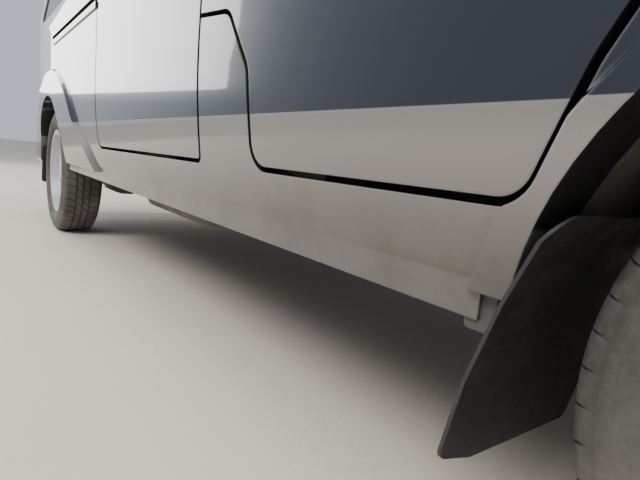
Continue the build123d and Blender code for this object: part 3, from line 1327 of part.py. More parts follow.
def seat_block(width, depth, height, place, tilt, corner):
    """One upholstered block of a seat, tilted about the across axis."""
    with BuildPart() as block:
        with Locations(Location(place, (tilt, 0, 0))):
            Box(width, depth, height, align=(Align.CENTER, Align.CENTER, Align.MIN))
        fillet(block.edges(), corner)
    return block.part


base = box((DRIVER_X - 190, -700, SEAT_BOX_Z + SEAT_GAP), (DRIVER_X + 190, -320, SEAT_BOX_Z + SEAT_BASE_H))
save(both(base), "seat_bases")
cushion = seat_block(SEAT_W, 500, 130, (DRIVER_X, -545, SEAT_BOX_Z + SEAT_BASE_H + SEAT_GAP), 0, 40)
save(both(cushion), "seat_cushions")
back = seat_block(SEAT_W - 20, 110, 560, (DRIVER_X, -252, SEAT_BOX_Z + SEAT_BASE_H + 25), -SEAT_RAKE, 40)
rest = seat_block(260, 90, 170, (DRIVER_X, -68, SEAT_BOX_Z + SEAT_BASE_H + 25 + 590), -SEAT_RAKE, 35)
post_z = SEAT_BOX_Z + SEAT_BASE_H
posts = [
    box((DRIVER_X + x - 6, -94, post_z + 540), (DRIVER_X + x + 6, -82, post_z + 660)) for x in (-60, 60)
]
save(both(carve(back, None, [], [rest] + posts)), "seat_backs")


# Mud flaps: thin curved sheets hung behind the wheels
FRONT_FLAP = [
    (-1100, 413), (-1083, 391), (-1072, 364.5), (-1060.2, 336.2), (-1050, 303.6), (-1036, 258), (-1017, 158)
]
FRONT_FLAP_EDGE = [(560, 415), (800, 415), (800, 176), (745, 160), (560, 158)]
REAR_FLAP_TOP_Z = 390.0
REAR_FLAP_TOP_Y = REAR_AXLE_Y + math.sqrt((ARCH_R - SEAT_GAP) ** 2 - (REAR_FLAP_TOP_Z - AXLE_Z) ** 2)
REAR_FLAP = [(REAR_FLAP_TOP_Y, REAR_FLAP_TOP_Z), (REAR_AXLE_Y + 337.4, 299), (REAR_AXLE_Y + 356, 190)]
REAR_FLAP_EDGE = [(610, 392), (800, 392), (800, 200), (745, 190), (610, 190)]


def flap(path, edge, radii):
    """A thin sheet that follows a line seen from the side, trimmed to an outline seen from behind."""
    with BuildPart() as plate:
        with BuildSketch(Plane.YZ.offset(edge[0][0])):
            with BuildLine():
                Polyline(*path, *[(y - FLAP_T, z) for y, z in reversed(path)], close=True)
            make_face()
        extrude(amount=edge[1][0] - edge[0][0])
        add(flap_trim(edge, radii), mode=Mode.INTERSECT)
    return plate.part


def flap_trim(edge, radii):
    """The flap's outline as a block along the whole van."""
    with BuildPart() as trim:
        extrude(outline(edge, radii, 0, Plane.XZ), amount=LENGTH, both=True)
    return trim.part


front_flap = flap(FRONT_FLAP, FRONT_FLAP_EDGE, [4, 24, 14, 20, 10])
rear_flap = flap(REAR_FLAP, REAR_FLAP_EDGE, [4, 20, 14, 20, 10])
save(both(carve(front_flap, None, [], [rear_flap])), "mud_flaps")
print("nodes", len(os.listdir("parts")))
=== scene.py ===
# %% [markdown]
# # A two-tone microvan, dressed for its portrait
# The van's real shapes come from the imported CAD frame. This script gives them paint, glass, rubber and
# dust, adds the small trim that a van wears, and sets the camera where the photographer crouched.

# %% Tools and the frame
import cmath
import fnmatch
from math import atan2, cos, dist, exp, pi, radians, sin, tan

import bmesh
import bpy
from mathutils import Matrix, Vector
from mathutils.bvhtree import BVHTree


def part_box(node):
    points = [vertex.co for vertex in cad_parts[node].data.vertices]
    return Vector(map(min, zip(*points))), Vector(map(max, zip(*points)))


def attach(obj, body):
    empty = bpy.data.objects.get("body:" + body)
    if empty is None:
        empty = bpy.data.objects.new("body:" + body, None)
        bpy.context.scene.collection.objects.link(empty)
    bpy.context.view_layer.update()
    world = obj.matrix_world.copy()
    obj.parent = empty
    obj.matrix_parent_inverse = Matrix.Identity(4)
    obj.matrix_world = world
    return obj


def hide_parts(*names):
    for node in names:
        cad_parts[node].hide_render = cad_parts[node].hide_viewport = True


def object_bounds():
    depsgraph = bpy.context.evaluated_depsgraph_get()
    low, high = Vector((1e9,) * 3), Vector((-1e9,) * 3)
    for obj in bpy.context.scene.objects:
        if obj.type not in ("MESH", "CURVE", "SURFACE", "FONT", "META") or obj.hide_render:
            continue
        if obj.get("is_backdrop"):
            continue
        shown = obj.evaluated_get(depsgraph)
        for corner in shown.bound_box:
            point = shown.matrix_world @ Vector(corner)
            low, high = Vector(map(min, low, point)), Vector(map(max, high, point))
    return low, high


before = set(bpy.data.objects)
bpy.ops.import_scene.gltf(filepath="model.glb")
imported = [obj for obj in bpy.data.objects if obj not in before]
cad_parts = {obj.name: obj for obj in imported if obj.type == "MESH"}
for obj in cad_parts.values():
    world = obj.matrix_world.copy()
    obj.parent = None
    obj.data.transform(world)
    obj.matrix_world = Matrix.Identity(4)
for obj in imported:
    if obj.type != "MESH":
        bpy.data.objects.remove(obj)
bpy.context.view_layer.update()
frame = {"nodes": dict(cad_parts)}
NODES = frame["nodes"]
print("nodes in the frame:", len(NODES))

# %% [markdown]
# ## Sizes shared with the CAD
# Metres, in the frame's axes: the nose points to -Y, the van's left is +X, and the ground is Z = 0.
# What can be measured from a node's box is measured, so that the trim follows the CAD.


# %% Sizes
def middle(node):
    """The centre of a node's box, and half its extents."""
    low, high = (Vector(corner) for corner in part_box(node))
    return (low + high) / 2, (high - low) / 2


SIDES = {"left": 1, "right": -1}
CORNERS = [f"{end}_{hand}" for end in ("front", "rear") for hand in SIDES]
HUBS = {corner: middle("tyre_" + corner)[0] for corner in CORNERS}
TYRE_HALF_W, _, TYRE_R = middle("tyre_front_left")[1]
FRONT_AXLE = HUBS["front_left"].y
TWO_TONE_Z = 0.4945
print("wheelbase", round(HUBS["rear_left"].y - FRONT_AXLE, 3), "tyre radius", round(TYRE_R, 3))

# %% [markdown]
# ## A maker of materials
# A finish is a small tree of nodes, and most are built from the same few steps: noise, a ramp, a mix, a
# bump. This class gives each step a short name. Every pattern reads Object coordinates, the frame's own
# metres, so it stays put on a door that swings.


# %% A tree of nodes
class Nodes:
    """A node tree that is built one node at a time."""

    def add(self, kind, inputs=(), **settings):
        """One node, with its inputs linked or set. Returns its outputs."""
        node = self.tree.nodes.new(kind)
        for key, value in settings.items():
            setattr(node, key, value)
        for key, value in dict(inputs).items():
            socket = node.inputs[key]
            if isinstance(value, bpy.types.NodeSocket):
                self.tree.links.new(value, socket)
            else:
                socket.default_value = (*value, 1.0) if socket.type == "RGBA" else value
        return node.outputs


# %% Finish: one material under construction
COLOUR_A, COLOUR_B, COLOUR_OUT = 6, 7, 2


class Finish(Nodes):
    """A material under construction: its tree and its surface shader."""

    def __init__(self, name, **values):
        self.mat = bpy.data.materials.new(name)
        self.mat.use_nodes = True
        self.tree = self.mat.node_tree
        self.bsdf = self.tree.nodes["Principled BSDF"]
        where = self.add("ShaderNodeTexCoord")
        self.coords, self.facing = where["Object"], where["Normal"]
        for key, value in values.items():
            self.bsdf.inputs[key.replace("_", " ")].default_value = value

    def noise(self, scale, detail=4.0, rough=0.55, stretch=None):
        where = self.coords
        if stretch:
            where = self.add("ShaderNodeMapping", {"Vector": where, "Scale": stretch})["Vector"]
        sizes = {"Vector": where, "Scale": scale, "Detail": detail, "Roughness": rough}
        return self.add("ShaderNodeTexNoise", sizes)["Fac"]

    def cells(self, scale, feature, output):
        sizes = {"Vector": self.coords, "Scale": scale}
        return self.add("ShaderNodeTexVoronoi", sizes, feature=feature)[output]

    def stripes(self, scale, direction, wobble=0.0):
        sizes = {"Vector": self.coords, "Scale": scale, "Distortion": wobble}
        return self.add("ShaderNodeTexWave", sizes, bands_direction=direction)["Fac"]

    def ramp(self, source, low, high, a=0.0, b=1.0, smooth=True):
        ends = {"Value": source, "From Min": low, "From Max": high, "To Min": a, "To Max": b}
        kind = "SMOOTHSTEP" if smooth else "LINEAR"
        return self.add("ShaderNodeMapRange", ends, interpolation_type=kind)["Result"]

    def axis(self, name, source=None):
        return self.add("ShaderNodeSeparateXYZ", {"Vector": source or self.coords})[name]

    def math(self, kind, a, b=None):
        return self.add("ShaderNodeMath", {0: a} if b is None else {0: a, 1: b}, operation=kind)["Value"]

    def mix(self, fac, a, b):
        inputs = {"Factor": fac, COLOUR_A: a, COLOUR_B: b}
        return self.add("ShaderNodeMix", inputs, data_type="RGBA")[COLOUR_OUT]

    def shades(self, fac, colour, dark, light=1.0):
        """One colour, from a darker to a lighter shade of it."""
        return self.mix(fac, *(tuple(c * share for c in colour) for share in (dark, light)))

    def between(self, source, low, high, soft):
        """One inside a range of a value, fading to nought over a soft edge."""
        rise = self.ramp(source, low - soft, low + soft)
        return self.math("MULTIPLY", rise, self.ramp(source, high - soft, high + soft, 1.0, 0.0))

    def surface(self, colour, rough, height=None, strength=0.0, distance=0.0, rolled=0.0):
        """Feed the surface shader, with a bump and rolled edges if asked. Returns the material."""
        feeds = {"Base Color": colour, "Roughness": rough}
        if height:
            bump = {"Height": height, "Strength": strength, "Distance": distance}
            if rolled:
                bump["Normal"] = self.add("ShaderNodeBevel", {"Radius": rolled}, samples=4)["Normal"]
            feeds["Normal"] = self.add("ShaderNodeBump", bump)["Normal"]
        for socket, source in feeds.items():
            self.tree.links.new(source, self.bsdf.inputs[socket])
        return self.mat


# %% [markdown]
# ## Dust, and painted shade on the sill
# A working van is never quite clean: the road throws pale dust on the arches, the tyres and the underbody.
# It could be a picture laid on each piece, but a height and a blotchy noise do it for all of them. On the
# body paint the same mask darkens the sill towards the bottom instead: painted shade, where the real panel
# curves under.

# %% Dust and painted shade by height
DUST = (0.33, 0.29, 0.235)


def dust_and_shade_amount(finish, low, high, most, thinnest=0.35):
    """A height mask, thick below, thin above, broken up by blotches: road dust, and painted shade on the
    body's sill.
    """
    height = finish.ramp(finish.axis("Z"), low, high, most, 0.0)
    blotch = finish.ramp(finish.noise(9.0, 6.0, 0.65), 0.35, 0.75, thinnest, 1.0)
    return finish.math("MULTIPLY", height, blotch)


# %% [markdown]
# ## The two-tone paint
# The real sides are sprayed champagne below a masked line and navy above it, under one lacquer. One
# material does both, split at one height, so the line runs on through doors and wings. Faces that look
# along the van or down are folded edges inside the gaps and arches. They are painted near-black, a
# painted shade standing for the dark of the deep gaps and the seals in them. The paint also darkens
# towards the bottom of the sill, as painted shade. A bevel node rounds the light on every pressed edge.

# %% Paint
NAVY = (0.0055, 0.0075, 0.015)
CHAMPAGNE = (0.212, 0.198, 0.185)
# Painted shade: near-black that darkens the lower paint towards the bottom, on the sill and the bumpers,
# where the real panels curve under into shade.
SILL_SHADE = (0.043, 0.038, 0.031)
# Painted shade: near-black for the folded edges inside the gaps and arches, standing for the dark of the
# deep gaps and their seals.
GAP_SHADE = (0.006, 0.006, 0.006)
EDGE_ROLL = 0.004
MASK_SOFT = 0.0006
SILL_LOW_Z, SILL_HIGH_Z = 0.34, 0.495
SEAM_FROM_Y, SEAM_TO_Y = -1.79, 1.8
SEAM_FROM_Z, SEAM_TO_Z = 0.398, 1.735


def body_paint(name, split, shaded_gaps=True):
    """Navy gloss over champagne metallic, with painted shade on the folded edges in the gaps and along the
    sill.
    """
    t = Finish(name, Metallic=0.35, Coat_Weight=1.0, Coat_Roughness=0.03, Coat_IOR=1.5)
    flake = t.ramp(t.cells(2600.0, "F1", "Color"), 0.2, 0.9, 0.0, 1.0, False)
    low = t.shades(flake, CHAMPAGNE, 0.93, 1.08)
    high = t.shades(flake, NAVY, 1.0, 1.5)
    upper = t.ramp(t.axis("Z"), split - MASK_SOFT, split + MASK_SOFT)
    # Painted shade: this mask turns the paint near-black towards the bottom of the sill, in blotches, and
    # also makes it rougher.
    dust_and_shade = dust_and_shade_amount(t, SILL_LOW_Z, SILL_HIGH_Z, 0.85, 0.8)
    paint = t.mix(dust_and_shade, t.mix(upper, low, high), SILL_SHADE)
    gloss = t.ramp(upper, 0.0, 1.0, 0.3, 0.2, False)
    rough = t.math("ADD", t.math("MULTIPLY", dust_and_shade, 0.5), gloss)
    if shaded_gaps:
        # Painted shade: folded edges inside the gaps and arches, beside the body's sides, turn near-black.
        sideways = t.math("ABSOLUTE", t.axis("X", t.facing))
        folded = t.ramp(sideways, 0.28, 0.42, 1.0, 0.0)
        beside = t.ramp(t.math("ABSOLUTE", t.axis("X")), 0.69, 0.7)
        along = t.between(t.axis("Y"), SEAM_FROM_Y, SEAM_TO_Y, 0.005)
        upright = t.between(t.axis("Z"), SEAM_FROM_Z, SEAM_TO_Z, 0.003)
        seam = t.math("MULTIPLY", t.math("MULTIPLY", folded, beside), t.math("MULTIPLY", along, upright))
        paint = t.mix(seam, paint, GAP_SHADE)
        rough = t.math("MAXIMUM", rough, t.math("MULTIPLY", seam, 0.7))
    return t.surface(paint, rough, t.noise(90.0, 2.0), 0.006, 0.0006, EDGE_ROLL)


PAINT = body_paint("paint_two_tone", TWO_TONE_Z)
CHAMPAGNE_PAINT = body_paint("paint_champagne", 5.0, False)

# %% [markdown]
# ## Enamel, plastic, rubber and steel
# Sprayed enamel takes dust, moulded plastic has a leather-like grain of small cells, rubber goes grey
# where it is rubbed, and bare metal shows faint lines.


# %% Enamel and plastic
def enamel(name, colour, rough, metallic=0.0, coat=0.0, dusty=0.3):
    """Sprayed paint on the plainer parts, patchy with road dust."""
    t = Finish(name, Metallic=metallic, Coat_Weight=coat, Coat_Roughness=0.08)
    dust_and_shade = dust_and_shade_amount(t, 0.1, 0.75, dusty)
    tone = t.shades(t.noise(3.0, 5.0), colour, 0.85, 1.12)
    patchy = t.ramp(t.noise(40.0), 0.3, 0.7, rough - 0.05, rough + 0.06)
    dull = t.math("ADD", t.math("MULTIPLY", dust_and_shade, 0.5), patchy)
    return t.surface(t.mix(dust_and_shade, tone, DUST), dull, t.noise(320.0, 3.0), 0.05, 0.0006)


def grained(name, colour, rough=0.55, grain=900.0, depth=0.0006, dusty=0.25):
    """Moulded plastic: a fine leather-like grain, greyer where dust lies."""
    t = Finish(name)
    dust_and_shade = dust_and_shade_amount(t, 0.15, 0.9, dusty)
    tone = t.shades(t.noise(5.0, 5.0), colour, 0.8, 1.25)
    dull = t.ramp(t.noise(60.0), 0.3, 0.7, rough - 0.06, rough + 0.08)
    leather = t.ramp(t.cells(grain, "DISTANCE_TO_EDGE", "Distance"), 0.0, 0.25)
    return t.surface(t.mix(dust_and_shade, tone, DUST), dull, leather, 0.35, depth)


def rubber(name, colour, dusty, top=0.6, rough=0.62, worn=0.28):
    """Dull rubber that greys where it is rubbed and dusty."""
    t = Finish(name)
    dust_and_shade = dust_and_shade_amount(t, 0.0, top, dusty)
    fine = t.ramp(t.noise(150.0, 6.0, 0.7), 0.35, 0.75, 0.0, worn)
    tone = t.mix(fine, colour, (0.1, 0.095, 0.085))
    dull = t.ramp(t.noise(35.0, 4.0), 0.3, 0.7, rough, rough + 0.22)
    return t.surface(t.mix(dust_and_shade, tone, (0.2, 0.18, 0.155)), dull, t.noise(420.0, 5.0, 0.7), 0.3, 0.0008)


# %% Metals
def steel(name, colour, rough, brushed=(1.0, 1.0, 1.0)):
    """Bare metal with faint lines along its length."""
    t = Finish(name, Metallic=1.0)
    lines = t.noise(22.0, 3.0, 0.6, brushed)
    dull = t.ramp(lines, 0.3, 0.7, rough - 0.07, rough + 0.08)
    return t.surface(t.shades(lines, colour, 0.82), dull, lines, 0.06, 0.0004)


def wheel_enamel():
    """Silver enamel on pressed steel, with dust in the bowl and a little orange peel."""
    t = Finish("wheel_enamel", Metallic=0.55, Coat_Weight=0.3, Coat_Roughness=0.2)
    grime = t.ramp(t.noise(26.0, 6.0, 0.7), 0.42, 0.78, 0.0, 0.45)
    silver = t.mix(grime, (0.56, 0.565, 0.575), (0.27, 0.25, 0.22))
    dull = t.ramp(grime, 0.0, 0.45, 0.34, 0.62, False)
    return t.surface(silver, dull, t.noise(240.0, 3.0), 0.06, 0.0005, 0.002)


# %% [markdown]
# ## Glass and lenses
# Glass is tinted a little green. A lamp lens is moulded with fine prisms on its inner face, which a
# striped bump imitates, and the tail lamp is one moulding in three colours.


# %% Glass and lenses
def window_glass(name, tint):
    """Clear glass in a tint, faintly smeared."""
    t = Finish(name, Transmission_Weight=0.86, IOR=1.45, Coat_Weight=0.4, Coat_Roughness=0.02)
    smear = t.ramp(t.noise(7.0, 5.0, 0.6), 0.45, 0.8, 0.0, 0.05)
    return t.surface(t.mix(smear, tint, (0.4, 0.4, 0.38)), t.ramp(smear, 0.0, 0.05, 0.015, 0.06, False))


def lens(name, colour, pitch, through):
    """A moulded lamp lens with fine prisms behind a glossy face."""
    t = Finish(name, Transmission_Weight=through, IOR=1.49, Coat_Weight=1.0, Coat_Roughness=0.02)
    prisms = t.stripes(pitch, "X")
    dull = t.ramp(prisms, 0.0, 1.0, 0.04, 0.1, False)
    return t.surface(t.shades(prisms, colour, 0.8), dull, prisms, 0.12, 0.001)


AMBER_FROM_Z, WHITE_FROM_Z, WHITE_TO_Z = 0.96, 1.06, 1.13


def tail_lens():
    """One moulding in three colours: red above and below, amber and white between."""
    t = Finish("lens_tail", Transmission_Weight=0.25, IOR=1.49, Coat_Weight=1.0, Coat_Roughness=0.02)
    prisms = t.stripes(90.0, "Z")
    height = t.axis("Z")
    red = t.mix(prisms, (0.3, 0.006, 0.006), (0.5, 0.014, 0.012))
    amber = t.mix(prisms, (0.6, 0.16, 0.01), (0.85, 0.26, 0.02))
    white = t.mix(prisms, (0.6, 0.6, 0.6), (0.85, 0.85, 0.86))
    tone = t.mix(t.between(height, AMBER_FROM_Z, WHITE_FROM_Z, 0.0008), red, amber)
    tone = t.mix(t.between(height, WHITE_FROM_Z, WHITE_TO_Z, 0.0008), tone, white)
    return t.surface(tone, t.ramp(prisms, 0.0, 1.0, 0.05, 0.12, False), prisms, 0.25, 0.0012)


# %% [markdown]
# ## Cloth and floor
# Seat cloth is a flat weave: two crossed sets of fine stripes, with slubs in the yarn and a soft sheen.
# The studio floor is pale and nearly plain.


# %% Cloth and floor
def cloth(name, colour, thread=260.0):
    """Woven seat cloth: crossed threads, slubs and a soft sheen."""
    t = Finish(name, Sheen_Weight=0.35, Sheen_Roughness=0.5)
    woven = t.math("MAXIMUM", t.stripes(thread, "X", 1.2), t.stripes(thread, "DIAGONAL", 1.2))
    slub = t.math("MULTIPLY", woven, t.ramp(t.noise(90.0, 4.0), 0.2, 0.8, 0.6, 1.0))
    tone = t.shades(slub, colour, 0.5, 1.3)
    return t.surface(tone, t.ramp(slub, 0.0, 1.0, 0.95, 0.8, False), woven, 0.5, 0.0009)


def pale_floor():
    t = Finish("floor_pale")
    tone = t.mix(t.noise(2.2, 8.0, 0.65), (0.6, 0.55, 0.47), (0.68, 0.63, 0.545))
    dull = t.ramp(t.noise(30.0, 6.0), 0.3, 0.7, 0.82, 0.95)
    return t.surface(tone, dull, t.noise(55.0, 8.0, 0.7), 0.25, 0.004)


# %% [markdown]
# ## Dressing the CAD nodes
# Each node keeps its solid shape and only takes a finish. One table says which.

# %% The finishes, and who wears them
CAB_GLASS = window_glass("glass_cab", (0.62, 0.69, 0.66))
REAR_GLASS = window_glass("glass_rear", (0.2, 0.23, 0.22))
ENAMEL = wheel_enamel()
RUBBER = rubber("rubber_black", (0.01, 0.01, 0.011), 0.2, 0.6, 0.5, 0.1)
TYRE = rubber("tyre_rubber", (0.02, 0.02, 0.021), 0.62, 0.66)
FLAP = rubber("flap_rubber", (0.008, 0.008, 0.009), 0.16, 0.45, 0.36, 0.12)
TRIM = grained("trim_black", (0.016, 0.016, 0.017))
LINER = grained("liner_black", (0.01, 0.01, 0.01), 0.75, 300.0, 0.001, 0.5)
DASH = grained("dash_grey", (0.085, 0.087, 0.092), 0.6)
CARD = grained("card_grey", (0.12, 0.12, 0.125), 0.65)
CHASSIS = enamel("chassis_black", (0.02, 0.02, 0.02), 0.5, 0.0, 0.0, 0.55)
FLOOR_PAINT = enamel("floor_paint", (0.1, 0.105, 0.115), 0.45, 0.1, 0.2, 0.4)
IRON = steel("iron_cast", (0.24, 0.235, 0.23), 0.62)
STEEL = steel("steel_dull", (0.42, 0.4, 0.37), 0.42, (1.0, 60.0, 60.0))
BRIGHT = steel("metal_bright", (0.85, 0.86, 0.88), 0.16)
MIRROR = steel("mirror_silver", (0.9, 0.91, 0.92), 0.09)
SEAT_CLOTH = cloth("seat_cloth", (0.175, 0.18, 0.195))
LINING = cloth("roof_lining", (0.42, 0.41, 0.39), 420.0)
HEAD_LENS = lens("lens_clear", (0.92, 0.93, 0.95), 30.0, 0.97)
AMBER_LENS = lens("lens_amber", (0.85, 0.24, 0.02), 60.0, 0.4)
RED_LENS = lens("lens_red", (0.5, 0.012, 0.012), 60.0, 0.3)
PLATE = enamel("plate_blank", (0.6, 0.6, 0.58), 0.4, 0.0, 0.3, 0.1)

DRESS = {
    PAINT: "body_side_* front_door_* sliding_door_* roof tailgate bonnet front_panel",
    CHAMPAGNE_PAINT: "*_bumper",
    CAB_GLASS: "front_glass_* windscreen",
    REAR_GLASS: "side_glass tailgate_glass",
    HEAD_LENS: "headlamps",
    tail_lens(): "tail_lamps",
    TRIM: "grille mirror_*",
    LINER: "wheel_houses",
    DASH: "dashboard steering_wheel",
    TYRE: "spare_wheel tyre_*",
    ENAMEL: "rim_*",
    FLOOR_PAINT: "floor_pan",
    CHASSIS: "frame_rails front_suspension knuckle_* rear_axle leaf_springs propshaft fuel_tank seat_bases",
    IRON: "engine_block",
    STEEL: "exhaust",
    FLAP: "mud_flaps",
    SEAT_CLOTH: "seat_cushions seat_backs",
}
dressed = {name: finish for finish, patterns in DRESS.items() for pattern in patterns.split()
           for name in fnmatch.filter(NODES, pattern)}
for name, finish in dressed.items():
    for slot in NODES[name].material_slots:
        slot.material = finish
print("nodes dressed:", len(dressed), "of", len(NODES))

# %% [markdown]
# ## Helpers for trim
# A piece of trim is a mesh in the frame's own metres that rides on one body, so that it goes where the
# door, the lid or the wheel goes. Trim that lies on a panel finds the panel with a ray: a function that
# gives the start for two coordinates, and a direction.


# %% Pieces
def put(name, data):
    """A new object in the scene."""
    thing = bpy.data.objects.new(name, data)
    bpy.context.scene.collection.objects.link(thing)
    return thing


def raw_mesh(name, bm):
    mesh = bpy.data.meshes.new(name)
    bm.to_mesh(mesh)
    bm.free()
    return mesh


def piece(name, bm, material, body, smooth=True, sharp=None, weld=1e-6):
    """An object on a body, from a bmesh: welded, faced outwards, creased where it bends by sharp degrees."""
    if weld:
        bmesh.ops.remove_doubles(bm, verts=bm.verts, dist=weld)
    bmesh.ops.recalc_face_normals(bm, faces=bm.faces)
    thing = put(name, raw_mesh(name, bm))
    thing.data.materials.append(material)
    if smooth:
        thing.data.shade_smooth()
    if sharp:
        thing.data.set_sharp_from_angle(angle=radians(sharp))
    if body:
        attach(thing, body)
    return thing


def bridge(bm, rings, capped=True):
    """Faces from ring to ring of points, and over both ends if asked."""
    rings = [[bm.verts.new(spot) for spot in ring] for ring in rings]
    count = len(rings[0])
    for low, high in zip(rings, rings[1:]):
        for k in range(count):
            bm.faces.new((low[k], low[(k + 1) % count], high[(k + 1) % count], high[k]))
    if capped:
        bm.faces.new(list(reversed(rings[0])))
        bm.faces.new(rings[-1])
    return rings


# %% Rays onto panels
FROM_FRONT = (lambda x, z: (x, -2.4, z), (0, 1, 0))
FROM_REAR = (lambda x, z: (x, 2.4, z), (0, -1, 0))
FROM_BELOW = (lambda x, y: (x, y, 1.2), (0, 0, 1))
FROM_SIDE = {side: (lambda y, z, x=side * 1.2: (x, y, z), (-side, 0, 0)) for side in (1, -1)}
FROM_CAB = {side: (lambda y, z, x=side * 0.5: (x, y, z), (side, 0, 0)) for side in (1, -1)}


def skin(*node_names):
    """A search tree over CAD nodes, for laying trim on their surface."""
    verts, faces = [], []
    for node_name in node_names:
        mesh = NODES[node_name].data
        start = len(verts)
        verts.extend(v.co.copy() for v in mesh.vertices)
        faces.extend([start + i for i in p.vertices] for p in mesh.polygons)
    return BVHTree.FromPolygons(verts, faces)


def touch(tree, ray, a, b, lift=0.0):
    """Where a ray at (a, b) meets a surface, lifted back towards its start."""
    start, direction = ray
    direction = Vector(direction).normalized()
    hit = tree.ray_cast(Vector(start(a, b)), direction)[0]
    return None if hit is None else hit - direction * lift


def turned(angle, axis):
    return Matrix.Rotation(angle, 4, axis)


def mirrored(place, side):
    """A place on the van's left, taken to the side asked for."""
    return Vector((place[0] * side, place[1], place[2]))


# %% Outlines
def bends(points):
    """Each corner of a closed outline, with the directions to its neighbours."""
    corners = [Vector(spot) for spot in points]
    for here, before, after in zip(corners, corners[-1:] + corners, corners[1:] + corners[:1]):
        yield here, (before - here).normalized(), (after - here).normalized()


def rounded(points, radius, steps=6):
    """Round the corners of a closed outline of (across, up) points, by one radius or one each."""
    out = []
    radii = radius if isinstance(radius, list) else [radius] * len(points)
    for radius, (here, before, after) in zip(radii, bends(points)):
        half = before.angle(after) / 2
        cut = radius / tan(half)
        centre = here + (before + after).normalized() * (radius / sin(half))
        a, b = here + before * cut - centre, here + after * cut - centre
        for k in range(steps + 1):
            out.append(tuple(centre + a.lerp(b, k / steps).normalized() * radius))
    return out


def shrunk(points, amount):
    """A convex outline moved inwards by an amount."""
    return [
        tuple(here + (before + after).normalized() * (amount / sin(before.angle(after) / 2)))
        for here, before, after in bends(points)
    ]


def part_way(a, b, share):
    """A point part of the way from one point to another."""
    return tuple(p + (q - p) * share for p, q in zip(a, b))


def walk(points, step):
    """Points along a closed outline, no further apart than a step."""
    out = []
    for here, there in zip(points, points[1:] + points[:1]):
        parts = max(1, int(dist(here, there) / step))
        out += [part_way(here, there, k / parts) for k in range(parts)]
    return out


def rectangle(x, z, width, height, radius, steps=4):
    """A rounded rectangle seen from the front, about a middle."""
    w, h = width / 2, height / 2
    return rounded([(x - w, z - h), (x + w, z - h), (x + w, z + h), (x - w, z + h)], radius, steps)


# %% Plates, turned pieces and boxes
def plate(name, outline, place, thickness, material, body="van", edge=0.0015):
    """A flat or draped plate: an outline of 2D points, placed by a function, with rounded edges."""
    bm = bmesh.new()
    bridge(bm, [[place(a, b, depth) for a, b in outline] for depth in (0.0, thickness)])
    bmesh.ops.recalc_face_normals(bm, faces=bm.faces)
    rim = [e for e in bm.edges if e.calc_face_angle() > 1.0]
    if edge:
        bmesh.ops.bevel(bm, geom=rim, offset=edge, segments=2, affect="EDGES", profile=0.6)
    return piece(name, bm, material, body, False)


def upright(name, shape, y, thickness, material, body="van", edge=0.0):
    """A plate that stands across the van: a rounded rectangle at one y."""
    plate(name, rectangle(*shape), lambda x, z, t: Vector((x, y + t, z)), thickness, material, body, edge)


def lathe(name, profile, place, direction, material, body="van", around=32):
    """A turned piece: (radius, height) points spun about a direction from a place."""
    turn = Vector((0, 0, 1)).rotation_difference(Vector(direction)).to_matrix()
    angles = [2 * pi * k / around for k in range(around)]
    bm = bmesh.new()
    bridge(bm, [
        [Vector(place) + turn @ Vector((radius * cos(a), radius * sin(a), height)) for a in angles]
        for radius, height in profile
    ])
    return piece(name, bm, material, body, sharp=40)


def box_mesh(size, place=(0, 0, 0), soft=0.0):
    """A box of a size about a place, its edges softened."""
    bm = bmesh.new()
    bmesh.ops.create_cube(bm, size=1.0, matrix=Matrix.Translation(place) @ Matrix.Diagonal((*size, 1.0)))
    if soft:
        bmesh.ops.bevel(bm, geom=bm.edges[:], offset=soft, segments=2, affect="EDGES")
    return raw_mesh("box", bm)


# %% [markdown]
# ## Three growing trees
# What repeats or follows a line is grown with Geometry Nodes. One tree turns a shape about an axis (a
# tyre's tread, wheel nuts), one sets it out in a row (floor ribs, vent slats), and one runs a round
# section along a line (seals, coils). Each tree's sizes are named inputs. The result becomes a plain
# mesh, because instances don't survive the export.


# %% A tree under construction
class Grower(Nodes):
    """A geometry tree with its sizes as named inputs."""

    def __init__(self, name, **sizes):
        self.tree = bpy.data.node_groups.new(name, "GeometryNodeTree")
        sockets = {"Geometry": "Geometry", **sizes, "Material": "Material"}
        for label, kind in sockets.items():
            self.tree.interface.new_socket(label, in_out="INPUT", socket_type="NodeSocket" + kind)
        self.tree.interface.new_socket("Geometry", in_out="OUTPUT", socket_type="NodeSocketGeometry")
        self.source = self.add("NodeGroupInput")

    def scaled(self, vector, amount):
        inputs = {"Vector": self.source[vector], "Scale": amount}
        return self.add("ShaderNodeVectorMath", inputs, operation="SCALE")["Vector"]

    def finish(self, geometry):
        worn = {"Geometry": geometry, "Material": self.source["Material"]}
        self.add("NodeGroupOutput", {"Geometry": self.add("GeometryNodeSetMaterial", worn)["Geometry"]})
        return self.tree

    def repeated(self, positions, rotations=(0, 0, 0)):
        """Instances of the input shape on points, made real and welded."""
        points = self.add("GeometryNodePoints", {"Count": self.source["Count"], "Position": positions})
        links = {"Points": points["Points"], "Instance": self.source["Geometry"], "Rotation": rotations}
        placed = self.add("GeometryNodeInstanceOnPoints", links)
        real = self.add("GeometryNodeRealizeInstances", {"Geometry": placed["Instances"]})
        weld = {"Geometry": real["Geometry"], "Distance": self.source["Weld"]}
        return self.finish(self.add("GeometryNodeMergeByDistance", weld)["Geometry"])


# %% The three trees
def turning_tree():
    """The shape turned Count times about Axis, at Centre."""
    tree = Grower("turned_about_axis", Count="Int", Centre="Vector", Axis="Vector", Weld="Float")
    index = tree.add("GeometryNodeInputIndex")["Index"]
    share = tree.add("ShaderNodeMath", {0: index, 1: tree.source["Count"]}, operation="DIVIDE")["Value"]
    angle = tree.add("ShaderNodeMath", {0: share, 1: 2 * pi}, operation="MULTIPLY")["Value"]
    return tree.repeated(tree.source["Centre"], tree.scaled("Axis", angle))


